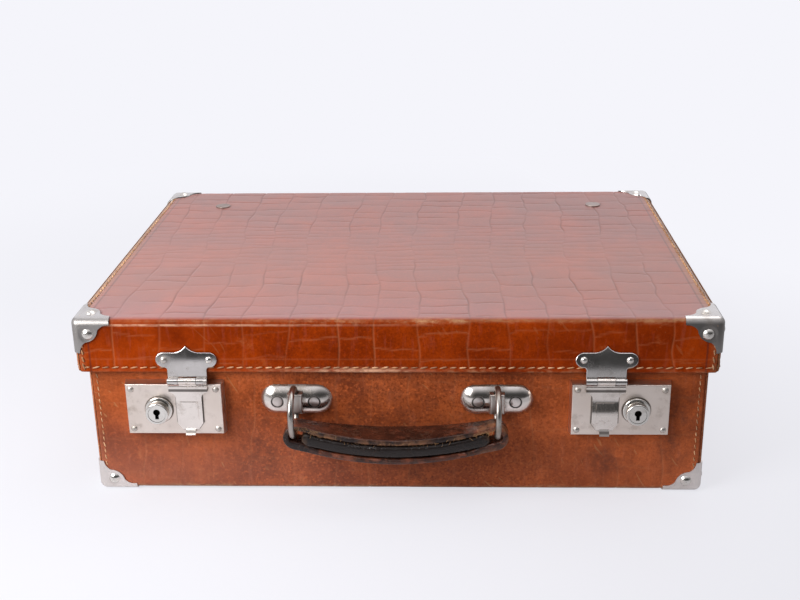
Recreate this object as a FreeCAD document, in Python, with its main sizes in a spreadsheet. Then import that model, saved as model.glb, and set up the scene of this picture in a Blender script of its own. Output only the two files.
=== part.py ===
"""Small hard leather case with an overlapping hinged lid, two locking hasps and a swinging handle.

The case stands on its base corner caps. X runs along the front, the front faces -Y, Z is up, and the
origin is on the floor under the middle of the case. All lengths are in millimetres.
"""
import FreeCAD
import Part
import math
import os
import re

import Sketcher
from FreeCAD import Placement, Rotation, Vector

# Driving sizes
SIZES = {
    # Case
    "case_width": 383.0,
    "case_depth": 284.0,
    "lid_edge_height": 82.0,
    "lid_height": 34.4,
    "lid_overhang": 5.0,
    "rim_rise": 8.0,
    "edge_round": 3.6,
    "leather_gauge": 1.8,
    "lid_wall_gauge": 2.4,
    "lid_top_gauge": 3.0,
    "base_board_gauge": 3.0,
    "lining_gauge": 0.6,
    "lining_lift": 1.0,
    "overrun": 1.0,
    # Corner caps and their nails
    "cap_gauge": 0.8,
    "cap_fit": 0.05,
    "lid_cap_front_leg": 22.4,
    "lid_cap_side_leg": 24.8,
    "lid_cap_drop": 21.5,
    "base_cap_leg": 23.0,
    "base_cap_rise": 19.2,
    "cap_lobe_far_share": 0.68,
    "cap_lobe_near_share": 0.33,
    "cap_lobe_radius_share": 0.40,
    "cap_waist_radius_share": 0.36,
    "nail_head_radius": 3.4,
    "nail_head_height": 1.8,
    "nail_shank_radius": 1.0,
    "lid_nail_side_inset": 9.0,
    "lid_nail_top_inset": 9.5,
    "base_nail_side_inset": 9.3,
    "base_nail_floor_inset": 7.9,
    # Lock cases
    "lock_inset": 57.45,
    "lock_top_gap": 0.6,
    "lock_face_width": 58.0,
    "lock_face_height": 32.6,
    "lock_depth": 6.0,
    "lock_gauge": 1.0,
    "lock_flare": 1.0,
    "lock_edge_round": 0.6,
    "lock_rivet_inset": 3.2,
    "lock_rivet_radius": 2.0,
    "lock_rivet_height": 1.2,
    "lock_rivet_shank_radius": 0.9,
    # Key barrels and cores
    "key_offset": 9.3,
    "key_ring_radius": 8.25,
    "key_ring_height": 2.0,
    "key_collar_radius": 6.9,
    "key_boss_height": 7.6,
    "key_boss_round": 0.8,
    "key_neck_radius": 6.0,
    "key_neck_depth": 0.8,
    "core_radius": 5.1,
    "core_clearance": 0.15,
    "core_recess": 0.3,
    "keyhole_radius": 2.1,
    "keyhole_slot_width": 2.2,
    "keyhole_height": 6.5,
    "keyhole_depth": 5.0,
    "crank_radius": 3.2,
    "crank_pin_radius": 1.0,
    "crank_clearance": 0.3,
    "pin_clearance": 0.05,
    # Bolts
    "bolt_gauge": 1.4,
    "bolt_gap": 0.3,
    "bolt_yoke_margin": 2.0,
    "bolt_finger_height": 4.0,
    "bolt_finger_gap": 0.6,
    # Hasps
    "hasp_offset": 9.4,
    "hasp_gauge": 1.2,
    "hasp_axis_drop": 4.6,
    "hasp_knuckle_radius": 2.2,
    "hasp_pin_radius": 1.0,
    "hasp_neck_width": 23.8,
    "hasp_neck_rise": 6.7,
    "hasp_middle_width": 10.3,
    "knuckle_gap": 0.3,
    "hasp_point_rise": 22.6,
    "hasp_point_half": 8.0,
    "hasp_ear_spacing": 27.0,
    "hasp_ear_radius": 4.9,
    "hasp_ear_rise": 13.3,
    "hasp_edge_round": 0.6,
    "hasp_rivet_radius": 2.2,
    "hasp_rivet_height": 1.4,
    "hasp_rivet_shank_radius": 0.9,
    "flap_gap": 0.4,
    "flap_band_width": 23.3,
    "flap_band_clear": 0.5,
    "flap_band_drop": 7.2,
    "flap_band_rise": 0.6,
    "flap_band_margin": 0.7,
    "flap_shoulder_round": 3.9,
    "flap_tongue_width": 15.5,
    "flap_length": 32.1,
    "flap_chamfer": 4.5,
    "flap_toe_width": 9.2,
    "flap_panel_margin": 2.4,
    "flap_panel_rise": 0.5,
    "flap_lip_width": 5.8,
    "flap_lip_drop": 3.0,
    "flap_lip_lean": 2.6,
    "staple_width": 2.0,
    "staple_wire": 1.2,
    "staple_eye_clear": 0.5,
    "staple_bar": 0.8,
    "staple_bar_clear": 0.3,
    "staple_slot_side": 0.6,
    "staple_slot_below": 1.5,
    # Hinges
    "hinge_inset": 47.7,
    "hinge_width": 34.0,
    "hinge_end_width": 8.0,
    "hinge_gauge": 1.0,
    "hinge_knuckle_radius": 2.5,
    "hinge_pin_radius": 1.25,
    "hinge_axis_drop": 3.2,
    "hinge_leaf_height": 22.0,
    "hinge_leaf_round": 4.0,
    "hinge_leaf_clear": 0.4,
    "hinge_recess": 0.6,
    "hinge_recess_side": 0.5,
    "hinge_bend_round": 2.0,
    "stop_lug_reach": 4.6,
    "stop_lug_gauge": 1.2,
    "leaf_rivet_spacing": 22.0,
    "leaf_rivet_drop": 9.0,
    "leaf_rivet_low_drop": 17.5,
    "leaf_rivet_radius": 2.0,
    "leaf_rivet_height": 1.0,
    "leaf_rivet_shank_radius": 0.9,
    "strap_tail": 8.5,
    "strap_rivet_height_up": 18.0,
    "strap_rivet_spacing": 9.0,
    "top_rivet_back": 42.5,
    "top_rivet_radius": 5.65,
    "top_rivet_height": 1.0,
    "top_rivet_shank_radius": 1.5,
    # Handle plates
    "plate_drop": 19.4,
    "plate_lock_gap": 22.75,
    "plate_length": 43.6,
    "plate_height": 19.3,
    "plate_rise": 5.0,
    "plate_rivet_seat": 3.6,
    "plate_rivet_clearance": 0.15,
    "plate_rivet_spacing": 22.3,
    "plate_rivet_radius": 3.5,
    "plate_rivet_height": 0.8,
    "plate_rivet_shank_radius": 1.5,
    "saddle_width": 9.0,
    "saddle_height": 13.0,
    "saddle_rise": 8.4,
    "saddle_round": 1.5,
    # Handle rings and grip
    "ring_radius": 14.0,
    "ring_wire_radius": 1.8,
    "ring_clearance": 0.4,
    "ring_wall_gap": 0.6,
    "ring_drop": 1.0,
    "ring_offset": 1.5,
    "grip_end_radius": 8.0,
    "grip_end_drop": 14.4,
    "grip_sag": 7.3,
    "grip_strap_gauge": 3.0,
    "grip_middle_width": 22.0,
    "grip_end_width": 14.0,
    "grip_taper_inset": 7.0,
    "filler_inset": 6.0,
    "filler_fit": 0.05,
}

# Places that follow from the driving sizes
PLACES = {
    "lid_half_x": "case_width / 2",
    "lid_half_y": "case_depth / 2",
    "lid_top": "lid_edge_height + lid_height",
    "base_half_x": "lid_half_x - lid_overhang",
    "base_half_y": "lid_half_y - lid_overhang",
    "base_bottom": "cap_gauge",
    "rim_top": "lid_edge_height + rim_rise",
    "lid_board_x": "lid_half_x - leather_gauge",
    "lid_board_y": "lid_half_y - leather_gauge",
    "lid_inner_x": "lid_board_x - lid_wall_gauge",
    "lid_inner_y": "lid_board_y - lid_wall_gauge",
    "lid_board_top": "lid_top - leather_gauge",
    "lid_ceiling": "lid_board_top - lid_top_gauge",
    "base_board_x": "base_half_x - leather_gauge",
    "base_board_y": "base_half_y - leather_gauge",
    "base_inner_x": "base_board_x - base_board_gauge",
    "base_inner_y": "base_board_y - base_board_gauge",
    "base_board_bottom": "base_bottom + leather_gauge",
    "base_floor": "base_board_bottom + base_board_gauge",
    "cap_depth": "edge_round + cap_gauge + overrun",
    "nail_shank_length": "cap_gauge + leather_gauge + lid_wall_gauge",
    # Locks, given for the left one, whose X is negative
    "hasp_axis_height": "lid_edge_height - hasp_axis_drop",
    "lock_centre_height": "hasp_axis_height - hasp_knuckle_radius - lock_top_gap - lock_face_height / 2",
    "lock_centre_out": "lid_half_x - lock_inset",
    "lock_face": "base_half_y + lock_depth",
    "lock_x": "-lock_centre_out",
    "key_x": "lock_x - key_offset",
    "hasp_x": "lock_x + hasp_offset",
    "lock_inner": "lock_face - lock_gauge",
    "core_front": "lock_face + key_boss_height - core_recess",
    "core_back": "lock_inner - key_neck_depth",
    "crank_reach": "crank_radius * cos(45)",
    "bolt_front": "core_back - bolt_gap",
    "bolt_back": "bolt_front - bolt_gauge",
    "crank_end": "bolt_back - bolt_gap",
    "bolt_finger_tip": "hasp_x - staple_width / 2 - bolt_finger_gap",
    "lock_rivet_x": "lock_face_width / 2 - lock_rivet_inset",
    "lock_rivet_z": "lock_face_height / 2 - lock_rivet_inset",
    # Hasps
    "hasp_axis_front": "lid_half_y + hasp_knuckle_radius",
    "hasp_neck_top": "hasp_axis_height + hasp_neck_rise",
    "hasp_ear_height": "hasp_axis_height + hasp_ear_rise",
    "hasp_point_height": "hasp_axis_height + hasp_point_rise",
    "flap_back": "lock_face + flap_gap",
    "flap_front": "flap_back + hasp_gauge",
    "flap_band_top": "hasp_axis_height - hasp_knuckle_radius - flap_band_clear",
    "flap_band_bottom": "hasp_axis_height - flap_band_drop",
    "flap_bottom": "hasp_axis_height - flap_length",
    "flap_chamfer_top": "flap_bottom + flap_chamfer",
    "flap_lip_bottom": "flap_bottom - flap_lip_drop",
    "staple_eye_half": "bolt_finger_height / 2 + staple_eye_clear",
    "staple_half": "staple_eye_half + staple_wire",
    "staple_eye_back": "bolt_back - staple_bar_clear",
    "staple_back": "staple_eye_back - staple_bar",
    # Hinges, given for the left one
    "hinge_x": "hinge_inset - lid_half_x",
    "hinge_axis_y": "lid_inner_y - hinge_gauge + hinge_knuckle_radius",
    "hinge_axis_z": "lid_edge_height - hinge_axis_drop",
    "strap_width": "hinge_width - 2 * hinge_end_width - 2 * knuckle_gap",
    "top_rivet_y": "lid_half_y - top_rivet_back",
    "leaf_top": "hinge_axis_z - hinge_knuckle_radius - hinge_leaf_clear",
    "leaf_bottom": "leaf_top - hinge_leaf_height",
    # Handle
    "plate_out": "lock_centre_out - lock_face_width / 2 - plate_lock_gap - plate_length / 2",
    "plate_x": "-plate_out",
    "grip_end_x": "plate_out - ring_offset",
    "grip_half_length": "grip_end_x + grip_end_radius",
    "grip_taper_half": "grip_end_x - grip_taper_inset",
    "filler_half_length": "grip_end_x - filler_inset",
    "plate_height_up": "lid_edge_height - plate_drop",
    "plate_half": "plate_height / 2",
    "plate_run": "plate_length / 2 - plate_half",
    "plate_dome": "(plate_half * plate_half + plate_rise * plate_rise) / (2 * plate_rise)",
    "ring_front": "base_half_y + ring_wall_gap + ring_wire_radius + ring_radius",
    "ring_z": "plate_height_up - ring_drop",
    "grip_end_z": "ring_z - grip_end_drop",
    "grip_arc": "(grip_end_x * grip_end_x + grip_sag * grip_sag) / (2 * grip_sag)",
    "grip_bulge": "(grip_middle_width - grip_end_width) / 2",
    "grip_plan_arc": "(grip_taper_half * grip_taper_half + grip_bulge * grip_bulge) / (2 * grip_bulge)",
}

doc = FreeCAD.newDocument("leather_case")


def fill_sheet(name, values):
    """One sheet row for each named value."""
    table = doc.addObject("Spreadsheet::Sheet", name)
    for row, (alias, text) in enumerate(values.items(), 1):
        table.set(f"A{row}", alias)
        table.set(f"B{row}", text)
        table.setAlias(f"B{row}", alias)
    return table


def cells(text):
    """Write the sheet's name before each named value of a formula."""
    def named(match):
        word = match.group(0)
        if word in SIZES:
            return f"sizes.{word}"
        if word in PLACES:
            return f"places.{word}"
        return word
    return re.sub(r"[a-z_]+[a-z]", named, str(text))


sizes = fill_sheet("sizes", {alias: str(value) for alias, value in SIZES.items()})
places = fill_sheet("places", {alias: "=" + cells(text) for alias, text in PLACES.items()})
doc.recompute()

nodes = {}


def value(text):
    """The number that a formula of named values comes to."""
    result = sizes.evalExpression(cells(text))
    return float(getattr(result, "Value", result))


def bind(item, **formulas):
    """Tie an object's sizes to the sheet."""
    for name, text in formulas.items():
        item.setExpression(name, cells(text))
    return item


def place(item, x="0", y="0", z="0"):
    """Tie an object's position to the sheet."""
    for axis, text in (("x", x), ("y", y), ("z", z)):
        item.setExpression(f"Placement.Base.{axis}", cells(text))
    return item


def node(name, item):
    """Keep an object as one named piece of the case."""
    item.Label = name
    nodes[name] = item
    return item


def block(name, low, high):
    """Box between two corners, each written as three formulas."""
    item = doc.addObject("Part::Box", name)
    spans = [f"({top}) - ({bottom})" for bottom, top in zip(low, high)]
    bind(item, Length=spans[0], Width=spans[1], Height=spans[2])
    return place(item, *low)


def rod(name, radius, length, x, y, z):
    """Round rod along X, starting at a point."""
    item = doc.addObject("Part::Cylinder", name)
    item.Placement = Placement(Vector(), Rotation(Vector(0, 1, 0), 90))
    bind(item, Radius=radius, Height=length)
    return place(item, x, y, z)


def ring_solid(name, wire_radius):
    """Handle ring standing across the front of the left plate."""
    item = doc.addObject("Part::Torus", name)
    item.Placement = Placement(Vector(), Rotation(Vector(0, 1, 0), 90))
    bind(item, Radius1="ring_radius", Radius2=wire_radius)
    return place(item, "plate_x", "-(ring_front)", "ring_z")


def cut(name, base, tool):
    """The base without the tool."""
    item = doc.addObject("Part::Cut", name)
    item.Base = base
    item.Tool = tool
    return item


def common(name, base, tool):
    """Where the base and the tool both are."""
    item = doc.addObject("Part::Common", name)
    item.Base = base
    item.Tool = tool
    return item


def mirrored(name, source, normal=(1, 0, 0)):
    """Mirror image across the middle of the case."""
    item = doc.addObject("Part::Mirroring", name)
    item.Source = source
    item.Normal = normal
    return item


def new_body(name):
    return doc.addObject("PartDesign::Body", name)


def new_sketch(body, name, plane, height="0", across="0"):
    """Sketch on one of the body's own planes, raised along its normal and moved along its first axis."""
    sketch = body.newObject("Sketcher::SketchObject", name)
    support = next(item for item in body.Origin.OriginFeatures if item.Role == plane)
    sketch.AttachmentSupport = [(support, "")]
    sketch.MapMode = "FlatFace"
    sketch.setExpression("AttachmentOffset.Base.x", cells(across))
    sketch.setExpression("AttachmentOffset.Base.z", cells(height))
    return sketch


def arc_between(start, end, radius, turn):
    """Arc of under a half circle from start to end that turns left or right."""
    chord = end - start
    rise = math.sqrt(max(radius * radius - chord.Length * chord.Length / 4, 0))
    side = Vector(-chord.y, chord.x, 0).normalize()
    if turn == "right":
        side = -side
        start, end = end, start
    centre = (start + end) * 0.5 + side * rise
    angles = [math.atan2(spot.y - centre.y, spot.x - centre.x) for spot in (start, end)]
    return Part.ArcOfCircle(Part.Circle(centre, Vector(0, 0, 1), radius), *angles)


def outline(sketch, path):
    """Closed outline of lines (x, y) and arcs (x, y, radius, turn), bound to the sheet."""
    ends = [Vector(value(step[0]), value(step[1]), 0) for step in path]
    first = sketch.GeometryCount
    count = len(path)
    tails = []
    for index, step in enumerate(path):
        edge = Part.LineSegment(ends[index - 1], ends[index])
        if len(step) > 2:
            edge = arc_between(ends[index - 1], ends[index], value(step[2]), step[3])
        sketch.addGeometry(edge, False)
        tails.append(1 if "right" in step else 2)
    for index, step in enumerate(path):
        following = (index + 1) % count
        head = 3 - tails[following]
        sketch.addConstraint(
            Sketcher.Constraint("Coincident", first + index, tails[index], first + following, head))
        for kind, text in (("DistanceX", step[0]), ("DistanceY", step[1])):
            number = sketch.addConstraint(
                Sketcher.Constraint(kind, -1, 1, first + index, tails[index], value(text)))
            sketch.setExpression(f"Constraints[{number}]", cells(text))
        if len(step) > 2:
            number = sketch.addConstraint(Sketcher.Constraint("Radius", first + index, value(step[2])))
            sketch.setExpression(f"Constraints[{number}]", cells(step[2]))
    return sketch


def hole_outline(sketch, x, y, radius):
    """Full circle bound to the sheet."""
    centre = Vector(value(x), value(y), 0)
    index = sketch.addGeometry(Part.Circle(centre, Vector(0, 0, 1), value(radius)), False)
    for kind, text in (("DistanceX", x), ("DistanceY", y)):
        number = sketch.addConstraint(Sketcher.Constraint(kind, -1, 1, index, 3, value(text)))
        sketch.setExpression(f"Constraints[{number}]", cells(text))
    number = sketch.addConstraint(Sketcher.Constraint("Radius", index, value(radius)))
    sketch.setExpression(f"Constraints[{number}]", cells(radius))
    return sketch


def rectangle(low_x, low_y, high_x, high_y):
    """Path of a rectangle between two corners."""
    return [(low_x, low_y), (high_x, low_y), (high_x, high_y), (low_x, high_y)]


def grow(body, kind, name, sketch, length, middle=False, back=False):
    """Pad or Pocket of a sketch by a bound length."""
    feature = body.newObject(f"PartDesign::{kind}", name)
    feature.Profile = sketch
    bind(feature, Length=length)
    feature.Midplane = middle
    feature.Reversed = back
    return feature


def pad(body, name, plane, path, length, height="0", middle=False, back=False):
    sketch = outline(new_sketch(body, f"{name}_outline", plane, height), path)
    return grow(body, "Pad", name, sketch, length, middle, back)


def turn(body, name, sketch):
    """Full turn of a sketch about its own upright axis."""
    feature = body.newObject("PartDesign::Revolution", name)
    feature.Profile = sketch
    feature.ReferenceAxis = (sketch, ["V_Axis"])
    feature.Angle = 360
    return feature


def pocket(body, name, plane, path, length, height="0", middle=False, back=False):
    sketch = outline(new_sketch(body, f"{name}_outline", plane, height), path)
    return grow(body, "Pocket", name, sketch, length, middle, back)


def fillet(body, name, base, radius, picked):
    """Round the edges of a feature that a test picks."""
    doc.recompute()
    edges = [f"Edge{number}" for number, edge in enumerate(base.Shape.Edges, 1) if picked(edge)]
    feature = body.newObject("PartDesign::Fillet", name)
    feature.Base = (base, edges)
    return bind(feature, Radius=radius)


def level(edge, axis, text):
    """Whether an edge lies in the plane at a formula's value along an axis."""
    box = edge.BoundBox
    low = getattr(box, f"{axis}Min")
    high = getattr(box, f"{axis}Max")
    return max(abs(low - value(text)), abs(high - value(text))) < value("overrun") / 100


def rounded_form(name, half_x, half_y, low, high, radius, round_at):
    """Closed form of a lid or base: round upright corners and one rounded end."""
    body = new_body(name)
    path = [
        (f"-({half_x}) + ({radius})", f"-({half_y})"),
        (f"({half_x}) - ({radius})", f"-({half_y})"),
        (half_x, f"-({half_y}) + ({radius})", radius, "left"),
        (half_x, f"({half_y}) - ({radius})"),
        (f"({half_x}) - ({radius})", half_y, radius, "left"),
        (f"-({half_x}) + ({radius})", half_y),
        (f"-({half_x})", f"({half_y}) - ({radius})", radius, "left"),
        (f"-({half_x})", f"-({half_y}) + ({radius})"),
    ]
    path[0] = path[0] + (radius, "left")
    tall = pad(body, f"{name}_pad", "XY_Plane", path, f"({high}) - ({low})", low)
    fillet(body, f"{name}_round", tall, radius, lambda edge: level(edge, "Z", round_at))
    return body


def compound(name, shapes):
    item = doc.addObject("Part::Feature", name)
    item.Shape = Part.makeCompound(shapes)
    return item


# Rivets and nails

OUT_FRONT = Vector(0, -1, 0)
OUT_REAR = Vector(0, 1, 0)
OUT_TOP = Vector(0, 0, 1)


def point(x, y, z):
    return Vector(value(x), value(y), value(z))


def seat(spot, outward):
    return Placement(spot, Rotation(Vector(0, 0, 1), outward))


def rivet_pattern(name, head_radius, head_height, shank_radius, shank_length, flat=False):
    """One rivet along its own axis, its head outside Z = 0."""
    body = new_body(name)
    shank = f"-({shank_length})"
    path = [(0, shank), (shank_radius, shank), (shank_radius, 0), (head_radius, 0)]
    if flat:
        path += [(head_radius, f"{head_height} / 2"),
                 (f"{head_radius} - {head_height} / 2", head_height, f"{head_height} / 2", "left")]
        path += [(0, head_height)]
    else:
        dome = f"({head_radius} * {head_radius} + {head_height} * {head_height}) / (2 * {head_height})"
        path += [(0, head_height, dome, "left")]
    turn(body, f"{name}_turned", outline(new_sketch(body, f"{name}_outline", "XZ_Plane"), path))
    return body


def rivets(name, pattern, shank_radius, shank_length, seats):
    """Group of equal rivets, and the holes that take them."""
    doc.recompute()
    shapes = []
    holes = []
    for spot, outward in seats:
        copy = pattern.Shape.copy()
        copy.Placement = seat(spot, outward)
        shapes.append(copy)
        start = spot + outward * value("overrun")
        depth = value(shank_length) + value("overrun")
        holes.append(Part.makeCylinder(value(shank_radius), depth, start, -outward))
    node(name, compound(name, shapes))
    return holes


def corner_seats(half_x, half_y, z, side_inset):
    """Nail places on the front, rear and side faces at the four corners."""
    spots = []
    for sign in (-1, 1):
        face_x = f"{sign} * ({half_x} - {side_inset})"
        wall_x = f"{sign} * ({half_x} + cap_gauge)"
        wall_y = f"{half_y} - {side_inset}"
        outward = Vector(sign, 0, 0)
        spots += [
            (point(face_x, f"-({half_y} + cap_gauge)", z), OUT_FRONT),
            (point(face_x, f"{half_y} + cap_gauge", z), OUT_REAR),
            (point(wall_x, f"-({wall_y})", z), outward),
            (point(wall_x, wall_y, z), outward),
        ]
    return spots


nail = rivet_pattern("cap_nail_pattern", "nail_head_radius", "nail_head_height",
                     "nail_shank_radius", "nail_shank_length")
lid_nail_seats = corner_seats("lid_half_x", "lid_half_y", "lid_top - lid_nail_top_inset",
                              "lid_nail_side_inset")
for sign_x in (-1, 1):
    for sign_y in (-1, 1):
        top_spot = point(f"{sign_x} * (lid_half_x - lid_nail_top_inset)",
                         f"{sign_y} * (lid_half_y - lid_nail_side_inset)", "lid_top + cap_gauge")
        lid_nail_seats.append((top_spot, OUT_TOP))
lid_holes = rivets("lid_cap_nails", nail, "nail_shank_radius", "nail_shank_length", lid_nail_seats)
base_holes = rivets("base_cap_nails", nail, "nail_shank_radius", "nail_shank_length",
                    corner_seats("base_half_x", "base_half_y", "base_nail_floor_inset",
                                 "base_nail_side_inset"))

hasp_shank = "hasp_gauge + leather_gauge + lid_wall_gauge"
hasp_rivet = rivet_pattern("hasp_rivet_pattern", "hasp_rivet_radius", "hasp_rivet_height",
                           "hasp_rivet_shank_radius", hasp_shank)
lid_holes += rivets("hasp_plate_rivets", hasp_rivet, "hasp_rivet_shank_radius", hasp_shank, [
    (point(f"{side} * (-(hasp_x) + {ear} * hasp_ear_spacing / 2)", "-(lid_half_y + hasp_gauge)",
           "hasp_ear_height"), OUT_FRONT)
    for side in (-1, 1) for ear in (-1, 1)])

top_shank = "leather_gauge + lid_top_gauge + hinge_gauge"
top_rivet = rivet_pattern("top_rivet_pattern", "top_rivet_radius", "top_rivet_height",
                          "top_rivet_shank_radius", top_shank, flat=True)
lid_holes += rivets("lid_top_rivets", top_rivet, "top_rivet_shank_radius", top_shank, [
    (point(f"{side} * hinge_x", "top_rivet_y", "lid_top"), OUT_TOP) for side in (1, -1)])

strap_shank = "leather_gauge + lid_wall_gauge + hinge_gauge"
strap_rivet = rivet_pattern("strap_rivet_pattern", "leaf_rivet_radius", "leaf_rivet_height",
                            "leaf_rivet_shank_radius", strap_shank)
lid_holes += rivets("hinge_strap_rivets", strap_rivet, "leaf_rivet_shank_radius", strap_shank, [
    (point(f"{side} * hinge_x + {ear} * strap_rivet_spacing / 2", "lid_half_y",
           "lid_edge_height + strap_rivet_height_up"), OUT_REAR)
    for side in (1, -1) for ear in (-1, 1)])

leaf_shank = "hinge_gauge + leather_gauge + base_board_gauge"
leaf_rivet = rivet_pattern("leaf_rivet_pattern", "leaf_rivet_radius", "leaf_rivet_height",
                           "leaf_rivet_shank_radius", leaf_shank)
leaf_seats = []
for side in (1, -1):
    leaf_y = "base_half_y + hinge_gauge"
    for ear in (-1, 1):
        leaf_seats.append((point(f"{side} * hinge_x + {ear} * leaf_rivet_spacing / 2", leaf_y,
                                 "leaf_top - leaf_rivet_drop"), OUT_REAR))
    leaf_seats.append((point(f"{side} * hinge_x", leaf_y, "leaf_top - leaf_rivet_low_drop"), OUT_REAR))
base_holes += rivets("hinge_leaf_rivets", leaf_rivet, "leaf_rivet_shank_radius", leaf_shank, leaf_seats)

lock_shank = "lock_depth + leather_gauge + base_board_gauge"
lock_rivet = rivet_pattern("lock_rivet_pattern", "lock_rivet_radius", "lock_rivet_height",
                           "lock_rivet_shank_radius", lock_shank)
base_holes += rivets("lock_rivets", lock_rivet, "lock_rivet_shank_radius", lock_shank, [
    (point(f"{side} * lock_centre_out + {across} * lock_rivet_x", "-(lock_face)",
           f"lock_centre_height + {up} * lock_rivet_z"), OUT_FRONT)
    for side in (-1, 1) for across in (-1, 1) for up in (-1, 1)])

plate_shank = "plate_rivet_seat + leather_gauge + base_board_gauge"
plate_rivet = rivet_pattern("plate_rivet_pattern", "plate_rivet_radius", "plate_rivet_height",
                            "plate_rivet_shank_radius", plate_shank, flat=True)
base_holes += rivets("handle_plate_rivets", plate_rivet, "plate_rivet_shank_radius", plate_shank, [
    (point(f"{side} * plate_out + {ear} * plate_rivet_spacing / 2", "-(base_half_y + plate_rivet_seat)",
           "plate_height_up"), OUT_FRONT)
    for side in (-1, 1) for ear in (-1, 1)])

lid_drill = compound("lid_drill", lid_holes)
base_drill = compound("base_drill", base_holes)


def drilled(name, item, drill):
    """Keep a piece as a node once its rivet holes are through it."""
    return node(name, cut(f"{name}_drilled", item, drill))


# Boards

def wall_boards(part, board_x, board_y, inner_x, inner_y, low, high, drill):
    """Front and rear boards across the whole width, side boards between them."""
    front = block(f"{part}_front_plain", (f"-({board_x})", f"-({board_y})", low),
                  (board_x, f"-({inner_y})", high))
    rear = block(f"{part}_rear_plain", (f"-({board_x})", inner_y, low), (board_x, board_y, high))
    left = block(f"{part}_left_plain", (f"-({board_x})", f"-({inner_y})", low),
                 (f"-({inner_x})", inner_y, high))
    drilled(f"{part}_front_board", front, drill)
    drilled(f"{part}_rear_board", rear, drill)
    left = drilled(f"{part}_left_board", left, drill)
    node(f"{part}_right_board", mirrored(f"{part}_right_plain", left))


wall_boards("base", "base_board_x", "base_board_y", "base_inner_x", "base_inner_y",
            "base_floor", "rim_top", base_drill)
node("base_bottom_board", block("base_bottom_plain", ("-(base_board_x)", "-(base_board_y)",
                                                      "base_board_bottom"),
                                ("base_board_x", "base_board_y", "base_floor")))
wall_boards("lid", "lid_board_x", "lid_board_y", "lid_inner_x", "lid_inner_y",
            "lid_edge_height", "lid_ceiling", lid_drill)
drilled("lid_top_board", block("lid_top_plain", ("-(lid_board_x)", "-(lid_board_y)", "lid_ceiling"),
                               ("lid_board_x", "lid_board_y", "lid_board_top")), lid_drill)


# Leather: one wrap over front, top or bottom and rear, and a panel at each side

def leather(part, form, hollow, board_x, drill, low, high, recess=None):
    """Split the leather skin at the side seams."""
    skin = cut(f"{part}_skin", form, hollow)
    far = "lid_half_x + overrun"
    deep = "lid_half_y + overrun"
    middle = block(f"{part}_seam_middle", (f"-({board_x})", f"-({deep})", low), (board_x, deep, high))
    side = block(f"{part}_seam_side", (f"-({far})", f"-({deep})", low), (f"-({board_x})", deep, high))
    wrap = common(f"{part}_wrap_plain", skin, middle)
    if recess:
        wrap = cut(f"{part}_wrap_recessed", wrap, recess)
    drilled(f"{part}_leather_wrap", wrap, drill)
    panel = drilled(f"{part}_leather_left", common(f"{part}_panel_plain", skin, side), drill)
    node(f"{part}_leather_right", mirrored(f"{part}_panel_right", panel))


lid_form = rounded_form("lid_form", "lid_half_x", "lid_half_y", "lid_edge_height", "lid_top",
                        "edge_round", "lid_top")
lid_hollow = block("lid_hollow", ("-(lid_board_x)", "-(lid_board_y)", "lid_edge_height - overrun"),
                   ("lid_board_x", "lid_board_y", "lid_board_top"))
leather("lid", lid_form, lid_hollow, "lid_board_x", lid_drill,
        "lid_edge_height - overrun", "lid_top + overrun")

base_form = rounded_form("base_form", "base_half_x", "base_half_y", "base_bottom", "rim_top",
                         "edge_round", "base_bottom")
base_hollow = block("base_hollow", ("-(base_board_x)", "-(base_board_y)", "base_board_bottom"),
                    ("base_board_x", "base_board_y", "rim_top + overrun"))
recess_half = "hinge_width / 2 + hinge_recess_side"
left_recess = block("left_hinge_recess",
                    (f"hinge_x - ({recess_half})", "base_half_y - hinge_recess", "leaf_top"),
                    (f"hinge_x + ({recess_half})", "base_half_y + overrun", "rim_top + overrun"))
recesses = doc.addObject("Part::Compound", "hinge_recesses")
recesses.Links = [left_recess, mirrored("right_hinge_recess", left_recess)]
leather("base", base_form, base_hollow, "base_board_x", base_drill,
        "base_bottom - overrun", "rim_top + overrun", recesses)


# Cloth lining

base_cloth = block("base_cloth", ("-(base_inner_x)", "-(base_inner_y)", "base_floor"),
                   ("base_inner_x", "base_inner_y", "rim_top"))
base_room = block("base_room", ("-(base_inner_x - lining_gauge)", "-(base_inner_y - lining_gauge)",
                                "base_floor + lining_gauge"),
                  ("base_inner_x - lining_gauge", "base_inner_y - lining_gauge", "rim_top + overrun"))
node("base_lining", cut("base_lining_shell", base_cloth, base_room))

lining_low = "rim_top + lining_lift"
lid_cloth = block("lid_cloth", ("-(lid_inner_x)", "-(lid_inner_y)", lining_low),
                  ("lid_inner_x", "lid_inner_y", "lid_ceiling"))
lid_room = block("lid_room", ("-(lid_inner_x - lining_gauge)", "-(lid_inner_y - lining_gauge)",
                              f"{lining_low} - overrun"),
                 ("lid_inner_x - lining_gauge", "lid_inner_y - lining_gauge", "lid_ceiling - lining_gauge"))
strap_half = "strap_width / 2"
left_gap = block("left_strap_gap", (f"hinge_x - {strap_half}", "top_rivet_y - strap_tail",
                                    f"{lining_low} - overrun"),
                 (f"hinge_x + {strap_half}", "lid_inner_y + overrun", "lid_ceiling + overrun"))
gaps = doc.addObject("Part::Compound", "strap_gaps")
gaps.Links = [left_gap, mirrored("right_strap_gap", left_gap)]
node("lid_lining", cut("lid_lining_cut", cut("lid_lining_shell", lid_cloth, lid_room), gaps))


# Corner caps: a pressed shell over the corner, with a lobe round each nail

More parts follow.
